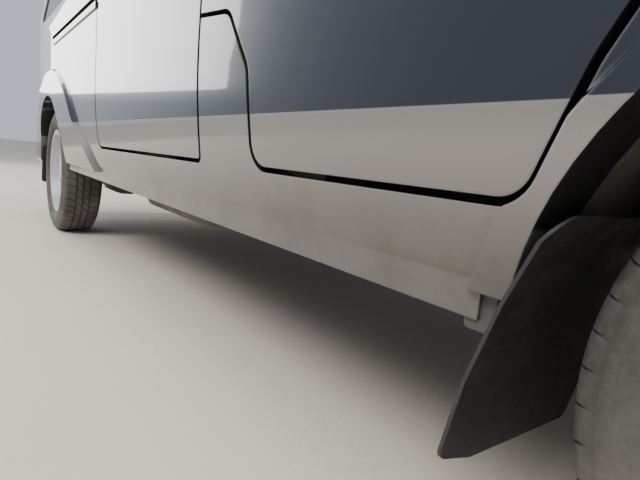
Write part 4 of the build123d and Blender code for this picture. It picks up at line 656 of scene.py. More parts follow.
def row_tree():
    """The shape set out Count times, a Step apart, from Start."""
    tree = Grower("set_out_in_a_row", Count="Int", Start="Vector", Step="Vector", Weld="Float")
    along = tree.scaled("Step", tree.add("GeometryNodeInputIndex")["Index"])
    spot = tree.add("ShaderNodeVectorMath", {0: tree.source["Start"], 1: along}, operation="ADD")
    return tree.repeated(spot["Vector"])


def section_tree():
    """A round section of Radius run along the input's line."""
    tree = Grower("round_section", Radius="Float", Sides="Int")
    line = tree.add("GeometryNodeMeshToCurve", {"Mesh": tree.source["Geometry"]})
    sizes = {"Resolution": tree.source["Sides"], "Radius": tree.source["Radius"]}
    ring = tree.add("GeometryNodeCurvePrimitiveCircle", sizes)
    sweep = {"Curve": line["Curve"], "Profile Curve": ring["Curve"], "Fill Caps": True}
    return tree.finish(tree.add("GeometryNodeCurveToMesh", sweep)["Mesh"])


TURNED, IN_A_ROW, SECTION = turning_tree(), row_tree(), section_tree()


# %% Growing a piece
def grow(name, mesh, tree, material, body="van", smooth=True, sharp=None, **sizes):
    """Run a growing tree on a mesh and keep the result as a plain piece."""
    seed = put(name + "_seed", mesh)
    grower = seed.modifiers.new("grow", "NODES")
    grower.node_group = tree
    sizes["Material"] = material
    for item in tree.interface.items_tree:
        if item.in_out == "INPUT" and item.name in sizes:
            grower[item.identifier] = sizes[item.name]
    graph = bpy.context.evaluated_depsgraph_get()
    bm = bmesh.new()
    bm.from_mesh(bpy.data.meshes.new_from_object(seed.evaluated_get(graph)))
    bpy.data.objects.remove(seed)
    return piece(name, bm, material, body, smooth, sharp, weld=None)


def tube(name, points, radius, material, body="van", closed=False, sides=8):
    """A round bar, seal or hose along points."""
    count = len(points)
    edges = [(i, (i + 1) % count) for i in range(count if closed else count - 1)]
    line = bpy.data.meshes.new(name)
    line.from_pydata([tuple(p) for p in points], edges, [])
    return grow(name, line, SECTION, material, body, Radius=radius, Sides=sides)


def row(name, size, count, start, step, material, soft=0.0):
    """A row of equal boxes."""
    box = box_mesh(size, soft=soft)
    grow(name, box, IN_A_ROW, material, smooth=False, Count=count, Start=start, Step=step)


# %% [markdown]
# ## Tyres
# A light van's tyre has two ribs of blocks in the middle and shoulder blocks on each side, with three
# straight grooves between them. One pitch of the pattern is drawn as a strip from bead to bead, and the
# strip is turned about the axle. The cuts are real geometry, up to 6.5 mm deep, because the front tyre
# fills a corner of the picture. Sidewalls carry raised rings but no words.

# %% The tread's sizes
PITCHES = 54
GROOVE_DEPTH, GROOVE_WALL = 0.0065, 0.0009
CUT_DEPTH, RIB_CUT_SHARE = 0.0038, 0.8
CENTRE_GROOVE = 0.0034
RIB_OUT = 0.024
RIB_LEAN, SHOULDER_LEAN, SHOULDER_SHIFT = 22, 9, 0.25
SHOULDER_IN = 0.0305
CROWN_EDGE, CROWN_DROP = 0.0555, 0.003
BUTTRESS, SHOULDER = (TYRE_HALF_W - 0.014, 0.273), (TYRE_HALF_W - 0.008, 0.262)
WIDEST, BEAD_TOE = (TYRE_HALF_W, 0.236), (0.064, 0.192)
BEAD_X, BEAD_R = 0.064, 0.178
RING_RISE, BAND_RISE = 0.0009, 0.0005
CUT_ROWS = (0.0, 0.22, 0.245, 0.305, 0.33, 0.7, 1.0)
CUT_OPEN = (False, False, True, True, False, False, False)


# %% One pitch of a tyre
def arc_through(a, b, c, steps):
    """Points on the circle through three points, from just past the first to the last."""
    a, b, c = complex(*a), complex(*b), complex(*c)
    w = (c - a) / (b - a)
    centre = a + (b - a) * (w - abs(w) ** 2) / (2j * w.imag)
    sweep = cmath.phase((c - centre) / (a - centre))
    spots = [centre + (a - centre) * cmath.exp(1j * sweep * k / steps) for k in range(1, steps + 1)]
    return [(spot.real, spot.imag) for spot in spots]


def crown(x):
    """The tread's radius at a distance from the middle."""
    return TYRE_R - CROWN_DROP * (x / CROWN_EDGE) ** 2


def tread_columns():
    """(across, radius, cut depth, phase) for the outer half of the section, middle to bead."""
    columns = [
        (CENTRE_GROOVE - GROOVE_WALL, crown(0) - GROOVE_DEPTH, 0.0, 0.0),
        (CENTRE_GROOVE, crown(0.003), CUT_DEPTH, 0.0),
    ]
    for x in (0.01, 0.017, RIB_OUT):
        columns.append((x, crown(x), CUT_DEPTH * RIB_CUT_SHARE, (x - CENTRE_GROOVE) * RIB_LEAN))
    lean = (RIB_OUT - CENTRE_GROOVE) * RIB_LEAN
    columns.append((RIB_OUT + GROOVE_WALL, crown(RIB_OUT) - GROOVE_DEPTH, 0.0, lean))
    lean += SHOULDER_SHIFT
    columns.append((SHOULDER_IN - GROOVE_WALL, crown(SHOULDER_IN) - GROOVE_DEPTH, 0.0, lean))
    for x in (SHOULDER_IN, 0.038, 0.047, CROWN_EDGE):
        columns.append((x, crown(x), CUT_DEPTH, lean + (x - SHOULDER_IN) * SHOULDER_LEAN))
    end = columns[-1][3]
    for x, r in arc_through((CROWN_EDGE, 0.277), BUTTRESS, SHOULDER, 5):
        columns.append((x, r, CUT_DEPTH * min(1.0, (r - 0.258) / 0.01), end))
    for x, r in arc_through(SHOULDER, WIDEST, BEAD_TOE, 18):
        ring = RING_RISE if 0.2485 < r < 0.2535 or 0.2 < r < 0.206 else 0.0
        band = BAND_RISE if 0.212 < r < 0.243 else 0.0
        columns.append((x + ring + band - RING_RISE, r, 0.0, end))
    columns.append((BEAD_X, BEAD_R, 0.0, end))
    return columns


def tyre_pitch():
    """A strip of tyre, one tread pitch long, about the X axis."""
    half = tread_columns()
    columns = [(-x, r, cut, 0.5 - phase) for x, r, cut, phase in reversed(half)] + half
    bm = bmesh.new()
    grid = []
    for x, radius, cut, phase in columns:
        line = []
        for share, is_open in zip(CUT_ROWS, CUT_OPEN):
            a = 2 * pi * (share + phase) / PITCHES
            r = radius - (cut if is_open else 0.0)
            line.append(bm.verts.new((x, -r * sin(a), r * cos(a))))
        grid.append(line)
    for left, right in zip(grid, grid[1:] + grid[:1]):
        for k in range(len(CUT_ROWS) - 1):
            bm.faces.new((left[k], right[k], right[k + 1], left[k + 1]))
    return raw_mesh("tyre_pitch", bm)


ALONG_X = (1.0, 0.0, 0.0)
for corner, hub in HUBS.items():
    tread = grow(
        "tread_" + corner, tyre_pitch(), TURNED, TYRE, "wheel_" + corner, sharp=35,
        Count=PITCHES, Centre=tuple(hub), Axis=ALONG_X, Weld=0.00005,
    )
    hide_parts("tyre_" + corner)
print("tyre faces:", len(tread.data.polygons))

# %% [markdown]
# ## The spare
# The spare lies flat under the load floor, outer side down. It is a copy of a road wheel, laid over.

# %% Spare wheel
SPARE_PLACE = Matrix.Translation(middle("spare_wheel")[0]) @ turned(radians(90), "Y")


def laid_down(name, source, material):
    """A copy of a rear left wheel's mesh, turned flat at the spare's place."""
    bm = bmesh.new()
    bm.from_mesh(source)
    bmesh.ops.remove_doubles(bm, verts=bm.verts, dist=1e-5)
    bm.transform(SPARE_PLACE @ Matrix.Translation(-HUBS["rear_left"]))
    return piece(name, bm, material, "van", sharp=35)


spare_tread = laid_down("spare_tread", bpy.data.objects["tread_rear_left"].data, TYRE)
spare_rim = laid_down("spare_rim", NODES["rim_rear_left"].data, ENAMEL)
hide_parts("spare_wheel")
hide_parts("spare_wheel")

# %% [markdown]
# ## Wheel nuts and valves
# Five domed nuts hold each wheel, on the flat of the pressed disc. One nut is turned about the axle.

# %% Nuts and valves
NUT_CIRCLE = 0.056
NUT_SEAT = 0.033
NUT_R = 0.0098
# Radius in nut radii, height, and whether the section is a hexagon there.
NUT_PROFILE = [(1.18, -0.002, False), (1.18, 0.001, False), (1.0, 0.001, True), (1.0, 0.01, True),
               (0.86, 0.012, True), (0.55, 0.016, False), (0.2, 0.0172, False)]
VALVE = [(0.0042, -0.018), (0.0042, 0.006), (0.003, 0.008), (0.003, 0.022), (0.002, 0.024)]
VALVE_OUT, VALVE_UP = 0.036, 0.158


def wheel_nut(side):
    """One hexagon nut with a flange and a domed end, pointing outwards."""
    rings = []
    for share, height, hexagon in NUT_PROFILE:
        ring = []
        for k in range(12):
            a = pi * k / 6
            r = NUT_R * share * (cos(pi / 6) if hexagon and k % 2 else 1.0)
            ring.append((side * (NUT_SEAT + height), r * cos(a), NUT_CIRCLE + r * sin(a)))
        rings.append(ring)
    bm = bmesh.new()
    bridge(bm, rings)
    return raw_mesh("wheel_nut", bm)


for corner, hub in HUBS.items():
    side = 1 if hub.x > 0 else -1
    grow(
        "nuts_" + corner, wheel_nut(side), TURNED, STEEL, "wheel_" + corner, False,
        Count=5, Centre=tuple(hub), Axis=ALONG_X,
    )
    stem = hub + Vector((side * VALVE_OUT, 0.0, VALVE_UP))
    lathe("valve_" + corner, VALVE, stem, (side, 0, 0.25), RUBBER, "wheel_" + corner, 14)
print("wheels fitted with nuts:", len(HUBS))

# %% [markdown]
# ## Window rubbers
# Every pane sits in a black rubber bead. The bead follows its window's outline, and each of its points
# goes onto the glass with a ray, so it follows the curve of the pane.

# %% Beads around the glass
RUBBER_R = 0.0065
BELT, TOP = 1.0, 1.63
FRONT_WINDOW = [(-1.11, BELT), (-0.49, BELT), (-0.49, TOP), (-0.795, TOP), (-1.11, 1.1)]
SLIDE_WINDOW = [(-0.34, BELT), (0.325, BELT), (0.325, TOP), (-0.34, TOP)]
QUARTER_WINDOW = [(0.49, BELT), (1.765, BELT), (1.7, TOP), (0.49, TOP)]
GATE_WINDOW = [(-0.58, 1.02), (0.58, 1.02), (0.485, 1.63), (-0.485, 1.63)]
SCREEN = [(-0.712, 0.028), (0.712, 0.028), (0.585, 0.8), (-0.585, 0.8)]
SCREEN_FOOT = Vector((0.0, -1.49, 1.01))
SCREEN_LEAN = atan2(0.43, 0.765)
SCREEN_UP = Vector((0, sin(SCREEN_LEAN), cos(SCREEN_LEAN)))
SCREEN_OUT = Vector((0, -cos(SCREEN_LEAN), sin(SCREEN_LEAN)))


def before_screen(across, up):
    """A point half a metre in front of the windscreen's plane."""
    return SCREEN_FOOT + Vector((across, 0, 0)) + SCREEN_UP * up + SCREEN_OUT * 0.5


AT_SCREEN = (before_screen, -SCREEN_OUT)


def bead(name, outline, radius, pane, ray, body):
    """A bead laid on a pane: an outline of 2D points, each sent onto the glass as a ray."""
    tree = skin(pane)
    spots = walk(rounded(shrunk(outline, 0.003), radius), 0.05)
    points = [hit for hit in (touch(tree, ray, a, b, -0.001) for a, b in spots) if hit]
    tube(name, points, RUBBER_R, RUBBER, body, True)


for hand, side in SIDES.items():
    for label, outline, pane, body in (
        ("front", FRONT_WINDOW, "front_glass_" + hand, "front_door_" + hand),
        ("slide", SLIDE_WINDOW, "side_glass", "van"),
        ("quarter", QUARTER_WINDOW, "side_glass", "van"),
    ):
        bead(f"{label}_bead_{hand}", outline, 0.04, pane, FROM_SIDE[side], body)
bead("gate_bead", GATE_WINDOW, 0.05, "tailgate_glass", FROM_REAR, "tailgate")
bead("screen_bead", SCREEN, 0.075, "windscreen", AT_SCREEN, "van")

# %% [markdown]
# ## Wipers
# A bent arm presses a blade onto the glass. Both are lines whose points are rays onto the glass, lifted
# by the height at which each part stands.

# %% Wipers
COWL = skin("windscreen", "front_panel", "bonnet", "body_side_left", "body_side_right")
WIPER_PIVOTS = (-0.48, 0.06)
PIVOT = [(0.014, -0.012), (0.014, 0.012), (0.011, 0.018), (0.004, 0.02)]


def wiper(name, tree, ray, start, end, knee, body="van"):
    """An arm from its pivot to its blade, and the blade, with points given as (across, up)."""
    def on_glass(spot, lift):
        """On the surface, or 10 mm further up where the ray falls into the glass's gap."""
        across, up = spot
        return touch(tree, ray, across, up, lift) or touch(tree, ray, across, up + 0.01, lift)

    centre = part_way(start, end, 0.5)
    arm = [on_glass(knee, 0.012), on_glass(knee, 0.022)]
    arm += [on_glass(part_way(knee, centre, t), 0.026) for t in (0.3, 0.6, 0.9)]
    tube(name + "_arm", arm + [on_glass(centre, 0.018)], 0.0045, TRIM, body)
    blade = [part_way(start, end, k / 12) for k in range(13)]
    tube(name + "_rubber", [on_glass(spot, 0.004) for spot in blade], 0.0035, RUBBER, body)
    tube(name + "_spine", [on_glass(spot, 0.013) for spot in blade[1:-1]], 0.0045, TRIM, body)
    lathe(name + "_pivot", PIVOT, on_glass(knee, 0.008), -Vector(ray[1]), TRIM, body, 20)


for index, x in enumerate(WIPER_PIVOTS):
    wiper(f"wiper_{index}", COWL, AT_SCREEN, (x + 0.06, 0.062), (x + 0.54, 0.085), (x, 0.012))
GATE_SKIN = skin("tailgate")
GATE_AND_GLASS = skin("tailgate_glass", "tailgate")
wiper("wiper_rear", GATE_AND_GLASS, FROM_REAR, (0.1, 1.06), (0.43, 1.075), (0.05, 1.0), "tailgate")

# %% [markdown]
# ## Headlamps
# Behind each clear lens stand a big reflector for the main beam and a small one with an amber bulb for
# the indicator, before a silver housing. A reflector is a turned bowl in life too.

# %% Headlamp insides
LAMP = [(0.442, 0.722), (0.502, 0.664), (0.738, 0.657), (0.738, 0.826), (0.562, 0.812), (0.456, 0.786)]
# Across, up, radius, and depth behind the lens.
BOWLS = {"main": (0.572, 0.74, 0.056, 0.018, HEAD_LENS), "turn": (0.679, 0.742, 0.034, 0.026, AMBER_LENS)}
BULB = [(0.006, -0.024), (0.009, -0.014), (0.009, -0.004), (0.006, 0.001), (0.002, 0.003)]
BOWL_DEPTH = 0.026
LENS_Y = -1.8
LENS_SKIN = skin("headlamps")
AHEAD = (0, -1, 0)

for hand, side in SIDES.items():
    def in_lamp(x, z, depth, side=side):
        """A point behind the lens's face."""
        hit = touch(LENS_SKIN, FROM_FRONT, side * x, z)
        return Vector((side * x, (hit.y if hit else LENS_Y) + depth, z))

    base = walk(rounded(LAMP, 0.018, 3), 0.03)
    plate(f"lamp_base_{hand}", base, lambda a, b, t: in_lamp(a, b, 0.029 + t), 0.002, STEEL, edge=0)
    for label, (x, z, radius, depth, bulb) in BOWLS.items():
        name = f"{label}_bowl_{hand}"
        place = in_lamp(x, z, depth)
        inner = [(radius * k / 8, -BOWL_DEPTH * (1 - (k / 8) ** 2)) for k in range(1, 9)]
        outer = [(r + 0.0015, h - 0.002) for r, h in reversed(inner)]
        lathe(name, inner + outer, place, AHEAD, BRIGHT, around=36)
        lathe(name + "_bulb", BULB, place, AHEAD, bulb, around=16)

# %% [markdown]
# ## Fog lamps, intake and radiator
# The bumper's round pockets hold fog lamps. Slats close the lower intake, and a dark core shows through
# the grille, so that nobody looks through the nose.

# %% Lower face
FOG = (0.56, -1.9525, 0.372)
RING = [(0.0465, 0.0), (0.0465, 0.013), (0.0435, 0.015), (0.0405, 0.013), (0.0405, 0.0)]
DOME = [(0.04, 0.001), (0.04, 0.01), (0.034, 0.0135), (0.022, 0.0155), (0.008, 0.0165)]
for hand, side in SIDES.items():
    for label, profile, material in (("ring", RING, TRIM), ("lens", DOME, HEAD_LENS)):
        lathe(f"fog_{label}_{hand}", profile, mirrored(FOG, side), AHEAD, material, around=40)

row("intake_slats", (0.003, 0.016, 0.084), 37, (-0.324, -1.938, 0.37), (0.018, 0.0, 0.0), TRIM)
upright("intake_back", (0, 0.37, 0.71, 0.1, 0.004), -1.926, 0.003, LINER)
row("radiator_fins", (0.74, 0.01, 0.0018), 26, (0.0, -1.862, 0.66), (0.0, 0.0, 0.006), STEEL)
upright("radiator_core", (0, 0.735, 0.76, 0.17, 0.008), -1.856, 0.02, LINER)

# %% [markdown]
# ## Bumper corners
# Between a bumper's bowed face and its side return the skin turns a blunt corner, which the CAD leaves
# open. One upright section with rolled edges is carried round the corner's plan: a short straight and
# then an arc.

# %% Bumper corners
CORNER_R, CORNER_LINE, CORNER_TURN = 0.11, radians(-30.96), radians(-31.8)
CORNER_MID, CORNER_START = Vector((0.6771, -1.8311)), Vector((0.7795, -1.8743))
CORNER_INSET = 0.0003
EDGE_R, SKIN_T = 0.022, 0.024
BUMPER_TOP_Z = 0.5643
BUMPERS = {"front": (-1, 0.2453), "rear": (1, 0.3003)}


def corner_plan():
    """(place, outward) pairs round the front left corner, seen from above."""
    ways = [CORNER_LINE + CORNER_TURN * k / 6 for k in range(7)]
    ways = [Vector((cos(a), sin(a))) for a in ways]
    return [(CORNER_START, ways[0])] + [(CORNER_MID + way * CORNER_R, way) for way in ways]


def bumper_corner(name, end, side, low):
    """The skin round one corner of one bumper, its edges rolled like the rest."""
    roll = [(EDGE_R * (1 - sin(pi / 12 * k)), EDGE_R * (1 - cos(pi / 12 * k))) for k in range(7)]
    section = [(SKIN_T, BUMPER_TOP_Z), (SKIN_T, low)]
    section += [(a, low + b) for a, b in roll] + [(b, BUMPER_TOP_Z - a) for a, b in roll]
    rings = []
    for place, outward in corner_plan():
        spots = [(place - outward * (depth + CORNER_INSET), z) for depth, z in section]
        rings.append([(side * spot.x, -end * spot.y, z) for spot, z in spots])
    bm = bmesh.new()
    bridge(bm, rings)
    piece(name, bm, CHAMPAGNE_PAINT, "van", sharp=35)


for hand, side in SIDES.items():
    for label, (end, low) in BUMPERS.items():
        bumper_corner(f"{label}_corner_{hand}", end, side, low)

# %% [markdown]
# ## Plates, reflectors and small lamps
# Number plates stay blank. Small flat things are draped: their outline is drawn flat, and each point
# goes onto the panel with a ray.

# %% A draped piece
FOOT = -0.002


def draped(name, shape, tree, ray, thickness, material, body="van", step=0.02):
    """A thin rounded rectangle that follows a panel, standing on its skin by its thickness."""
    outline = rectangle(*shape)
    spots = walk(outline, step)
    centre = tuple(sum(c) / len(outline) for c in zip(*outline))
    levels = ((1.0, FOOT), (1.0, thickness * 0.6), (0.985, thickness), (0.7, thickness), (0.35, thickness))
    bm = bmesh.new()
    rings = bridge(bm, [
        [touch(tree, ray, *part_way(centre, spot, share), rise) for spot in spots]
        for share, rise in levels
    ], False)
    for ring, rise in ((rings[0], FOOT), (rings[-1], thickness)):
        hub = bm.verts.new(touch(tree, ray, *centre, rise))
        for a, b in zip(ring, ring[1:] + ring[:1]):
            bm.faces.new((a, b, hub))
    piece(name, bm, material, body, sharp=35)


# %% Plates, grip and lamps
BUMPER_SKIN = skin("front_bumper")
draped("plate_front", (0, 0.478, 0.44, 0.11, 0.01), BUMPER_SKIN, FROM_FRONT, 0.0015, PLATE)
for name, shape, thickness, material in (
    ("plate_rear", (0, 0.737, 0.44, 0.12, 0.01), 0.003, PLATE),
    ("plate_bar", (0, 0.838, 0.56, 0.036, 0.012), 0.014, TRIM),
    ("gate_grip", (0, 0.838, 0.15, 0.02, 0.008), 0.018, CHAMPAGNE_PAINT),
    ("high_brake_lamp", (0, 1.688, 0.24, 0.022, 0.008), 0.008, RED_LENS),
):
    draped(name, shape, GATE_SKIN, FROM_REAR, thickness, material, "tailgate")

# %% The tailgate's seal
GATE = [(-0.655, 0.59), (0.655, 0.59), (0.655, 1.06), (0.545, 1.775), (-0.545, 1.775), (-0.655, 1.06)]
GATE_RADII = [0.03, 0.03, 0.2, 0.06, 0.06, 0.2]
GATE_MID = (0.0, 1.1825)
seal = []
for x, z in walk(rounded(GATE, GATE_RADII, 8), 0.04):
    face = touch(GATE_SKIN, FROM_REAR, *part_way(GATE_MID, (x, z), 0.97), -0.022)
    seal.append((x, face.y, z))
tube("gate_seal", seal, 0.0042, RUBBER, closed=True)

# %% Small things on both sides
KEY_BARREL = [(0.0085, -0.004), (0.0085, 0.002), (0.007, 0.003), (0.001, 0.0032)]
BRACKET = rounded([(-1.042, 0.297), (-1.012, 0.297), (-1.008, 0.338), (-1.044, 0.338)], 0.004, 2)
BRACKET_X = 0.745
for hand, side in SIDES.items():
    door = "front_door_" + hand
    reflector = (side * 0.615, 0.43, 0.1, 0.03, 0.008)
    draped(f"bumper_reflector_{hand}", reflector, skin("rear_bumper"), FROM_REAR, 0.004, RED_LENS)
    repeater = (-1.285, 0.735, 0.058, 0.026, 0.01)
    wing = skin("body_side_" + hand)
    draped(f"repeater_{hand}", repeater, wing, FROM_SIDE[side], 0.005, AMBER_LENS, step=0.012)
    lock = touch(skin(door), FROM_SIDE[side], -0.432, 0.905)
    lathe(f"key_barrel_{hand}", KEY_BARREL, lock, (side, 0, 0), STEEL, door, 20)
    glass = (side * 0.878, 1.13, 0.126, 0.188, 0.032)
    upright(f"mirror_face_{hand}", glass, -1.0752, 0.003, MIRROR, door, 0.001)
    plate(
        f"jacking_bracket_{hand}", BRACKET,
        lambda y, z, t, side=side: Vector((side * (BRACKET_X + t), y, z)), 0.03, TRIM,
    )

# %% [markdown]
# ## Seats
# A seat is foam in a sewn cover. Each block is a closed stuffed form: its faces crown, its sides pull in
# between the corners, sewn channels cross the middle, bolsters rise at the edges, and a piping runs
# round the seam. A subdivided box would have no channels, so a grid carries the form.

# %% The form of a stuffed block
GRID = 56
STATIONS = [sin(pi / 2 * (2 * k / GRID - 1)) for k in range(GRID + 1)]
PULL_IN = 0.03
CHANNEL_DEPTH, CHANNEL_HALF = 0.0065, 0.006
PANEL_EDGE, BOLSTER_AT, BOLSTER_HALF = 0.64, 0.84, 0.16
SEAM_SHARE = 0.996


def bell(distance, half):
    return exp(-((distance / half) ** 2))


def stuffed_spot(size, channels, bolster, u, v, face):
    """A point of the block: u and v run from -1 to 1 over it, face is 1 above and -1 below."""
    width, length, thick = size
    fullness = ((1 - abs(u) ** 6) * (1 - abs(v) ** 6)) ** 0.4
    rise = thick / 2 * fullness * (0.86 + 0.14 * (1 - u * u) * (1 - v * v))
    if face > 0:
        inside = 1 / (1 + exp((abs(u) - 0.62) * 60))
        for line in channels:
            rise -= CHANNEL_DEPTH * inside * bell((v - line) * length / 2, CHANNEL_HALF)
        rise -= CHANNEL_DEPTH * fullness * bell((abs(u) - PANEL_EDGE) * width / 2, CHANNEL_HALF)
        rise += bolster * fullness * bell(abs(u) - BOLSTER_AT, BOLSTER_HALF)
    x = width / 2 * u * (1 - PULL_IN * (1 - v**4))
    y = length / 2 * v * (1 - PULL_IN * (1 - u**4))
    return Vector((x, y, face * rise))


# %% A stuffed block with its piping
def stuffed(name, size, place, channels, bolster):
    """A pillow of (across, along, thick), laid in place by a matrix, with its piping."""
    def spot(u, v, face):
        return place @ stuffed_spot(size, channels, bolster, u, v, face)

    bm = bmesh.new()
    for face in (1, -1):
        rows = [[bm.verts.new(spot(u, v, face)) for u in STATIONS] for v in STATIONS]
        for low, high in zip(rows, rows[1:]):
            for k in range(GRID):
                bm.faces.new((low[k], low[k + 1], high[k + 1], high[k]))
    pad = piece(name, bm, SEAT_CLOTH, "van")
    there, back = STATIONS[:-1], STATIONS[:0:-1]
    ring = [(u, -1.0) for u in there] + [(1.0, v) for v in there]
    ring += [(u, 1.0) for u in back] + [(-1.0, v) for v in back]
    ring = [[max(-SEAM_SHARE, min(SEAM_SHARE, c)) for c in spot_on] for spot_on in ring]
    seam = [(spot(u, v, 1) + spot(u, v, -1)) / 2 for u, v in ring]
    tube(name + "_piping", seam, 0.0036, TRIM, closed=True, sides=6)
    return pad


# %% Both seats
SEAT_X = 0.365
SEAT_LEAN = turned(radians(-17.0), "X")
STUFFING_UP = turned(radians(90), "X")
CUSHION_CHANNELS, BACK_CHANNELS, BOLSTER_RISE = (-0.35, 0.05, 0.45), (-0.45, -0.1, 0.25, 0.6), 0.008
BACK_SIZE, REST_SIZE = (0.45, 0.56, 0.11), (0.26, 0.17, 0.09)
cushion_mid, cushion_half = middle("seat_cushions")
cushion_size = (0.47, 2 * cushion_half.y, 2 * cushion_half.z)
for hand, side in SIDES.items():
    seat_x = side * SEAT_X
    base = Matrix.Translation((seat_x, cushion_mid.y, cushion_mid.z))
    pad = stuffed(f"seat_cushion_{hand}", cushion_size, base, CUSHION_CHANNELS, BOLSTER_RISE)
    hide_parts("seat_cushions")
    back_foot = Matrix.Translation((seat_x, -0.252, 0.705)) @ SEAT_LEAN
    standing = back_foot @ Matrix.Translation((0, 0, 0.28)) @ STUFFING_UP
    pad = stuffed(f"seat_back_{hand}", BACK_SIZE, standing, BACK_CHANNELS, BOLSTER_RISE)
    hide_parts("seat_backs")
    rest_foot = Matrix.Translation((seat_x, -0.068, 1.295)) @ SEAT_LEAN
    standing = rest_foot @ Matrix.Translation((0, 0, 0.085)) @ STUFFING_UP
    stuffed(f"headrest_{hand}", REST_SIZE, standing, (), 0.0)
    for label, offset in (("in", -side * 0.06), ("out", side * 0.06)):
        post = [rest_foot @ Vector((offset, 0, z)) for z in (0.03, -0.07)]
        tube(f"headrest_post_{hand}_{label}", post, 0.006, BRIGHT)

# %% [markdown]
# ## Cab trim
# Through the glass one sees the dashboard's dials and vents, the gear lever, the pedals and the grey
# cards inside the doors, so those are made, each from a few simple moulded shapes.

# %% Dashboard, dials and vents
DIAL_Y, DIAL_Z = -1.079, 0.88
DIALS = {"speed": (0.31, 0.03), "fuel": (0.42, 0.03), "lamps": (0.365, 0.016)}
VENTS = {"left": 0.575, "right": -0.575, "mid_left": 0.085, "mid_right": -0.085}
TICK, SLAT = (0.0014, 0.001, 0.006), (0.104, 0.008, 0.0018)


def on_dash(x, z, t):
    """A point on the dash's upright face, t towards the seats."""
    return Vector((x, DIAL_Y + (DIAL_Z - z) * 0.08 + t, z))


plate("dial_panel", rectangle(0.365, 0.882, 0.33, 0.066, 0.03), on_dash, 0.004, TRIM)
for label, (x, r) in DIALS.items():
    spot = on_dash(x, 0.882, 0.004)
    rim = [(r, -0.001), (r, 0.004), (r - 0.003, 0.004), (r - 0.004, 0.001), (0.001, 0.001)]
    lathe(f"dial_{label}", rim, spot, (0, 1, 0), STEEL, around=36)
    tick = box_mesh(TICK, (0, 0.0018, r - 0.009))
    grow(
        f"dial_ticks_{label}", tick, TURNED, PLATE, smooth=False,
        Count=18, Centre=tuple(spot), Axis=(0.0, 1.0, 0.0),
    )
for label, x in VENTS.items():
    plate(f"vent_back_{label}", rectangle(x, 0.885, 0.12, 0.046, 0.01), on_dash, 0.004, TRIM)
    row(f"vent_slats_{label}", SLAT, 5, (x, DIAL_Y + 0.008, 0.87), (0.0, 0.0, 0.0075), DASH)

# %% Levers and pedals
STICK_FOOT = (0.02, -0.83, 0.4)
BOOT = [(0.055, 0.0), (0.048, 0.02), (0.03, 0.045), (0.012, 0.075)]
KNOB = [(0.01, 0.0), (0.02, 0.012), (0.024, 0.028), (0.018, 0.044), (0.004, 0.05)]
PEDALS = {"clutch": (0.47, 0.055), "brake": (0.37, 0.06), "throttle": (0.27, 0.04)}
tube("gear_stick", [STICK_FOOT, (0.02, -0.83, 0.47), (0.03, -0.8, 0.64)], 0.008, STEEL)
lathe("gear_boot", BOOT, STICK_FOOT, (0, 0, 1), RUBBER)
lathe("gear_knob", KNOB, (0.03, -0.8, 0.632), (0.05, 0.16, 1), TRIM)
for label, (x, width) in PEDALS.items():
    arm = [(x, -1.19, 0.64), (x, -1.13, 0.56), (x, -1.1, 0.5)]
    tube(f"{label}_arm", arm, 0.006, CHASSIS)
    plate(
        f"{label}_pad", rectangle(x, 0.0, width, 0.055, 0.008),
        lambda a, b, t: Vector((a, -1.1 + 0.5 * b + t, 0.49 + 0.86 * b)), 0.01, RUBBER,
    )

# %% Door cards, lining and mats
CARD_OUTLINE = rounded([
    (-1.12, 0.7), (-1.02, 0.475), (-0.64, 0.475), (-0.56, 0.7),
    (-0.45, 0.715), (-0.45, 0.965), (-1.12, 0.965),
], 0.022, 3)
ARMREST = rounded([(-0.9, 0.76), (-0.56, 0.76), (-0.56, 0.8), (-0.9, 0.8)], 0.015, 3)
CRANK_BOSS = [(0.016, 0.0), (0.016, 0.012), (0.01, 0.018)]
DOOR_INSIDE_X = 0.765
MAT_Z = 0.4003
for hand, side in SIDES.items():
    body = "front_door_" + hand

    def inside(y, z, t, side=side, tree=skin(body)):
        """A point on the door's inner face, t towards the cab."""
        hit = touch(tree, FROM_CAB[side], y, z)
        return Vector(((hit.x if hit else side * DOOR_INSIDE_X) - side * (0.001 + t), y, z))

    plate(f"door_card_{hand}", walk(CARD_OUTLINE, 0.03), inside, 0.006, CARD, body, 0)
    plate(f"armrest_{hand}", ARMREST, inside, 0.05, DASH, body, 0.006)
    crank = inside(-0.96, 0.84, 0.006)
    lathe(f"crank_boss_{hand}", CRANK_BOSS, crank, (-side, 0, 0), TRIM, body, 20)
    arm = [crank - Vector((side * 0.014, 0, 0)), crank + Vector((-side * 0.02, 0.09, -0.02))]
    tube(f"crank_{hand}", arm, 0.006, TRIM, body)
    mat = [(side * x, y) for x, y in ((0.1, -1.12), (0.6, -1.12), (0.6, -0.775), (0.1, -0.775))]
    plate(
        f"floor_mat_{hand}", rounded(mat, 0.04, 4), lambda x, y, t: Vector((x, y, MAT_Z + t)),
        0.005, RUBBER, edge=0.001,
    )
draped("roof_lining", (0, 0.42, 1.16, 2.5, 0.1), skin("roof"), FROM_BELOW, 0.006, LINING, step=0.05)

# %% [markdown]
# ## Load floor and underbody
# Pressed ribs stiffen the load floor. Below, coil springs stand round the front struts, dampers lean
# beside the rear springs, and a brake pipe runs along a rail.

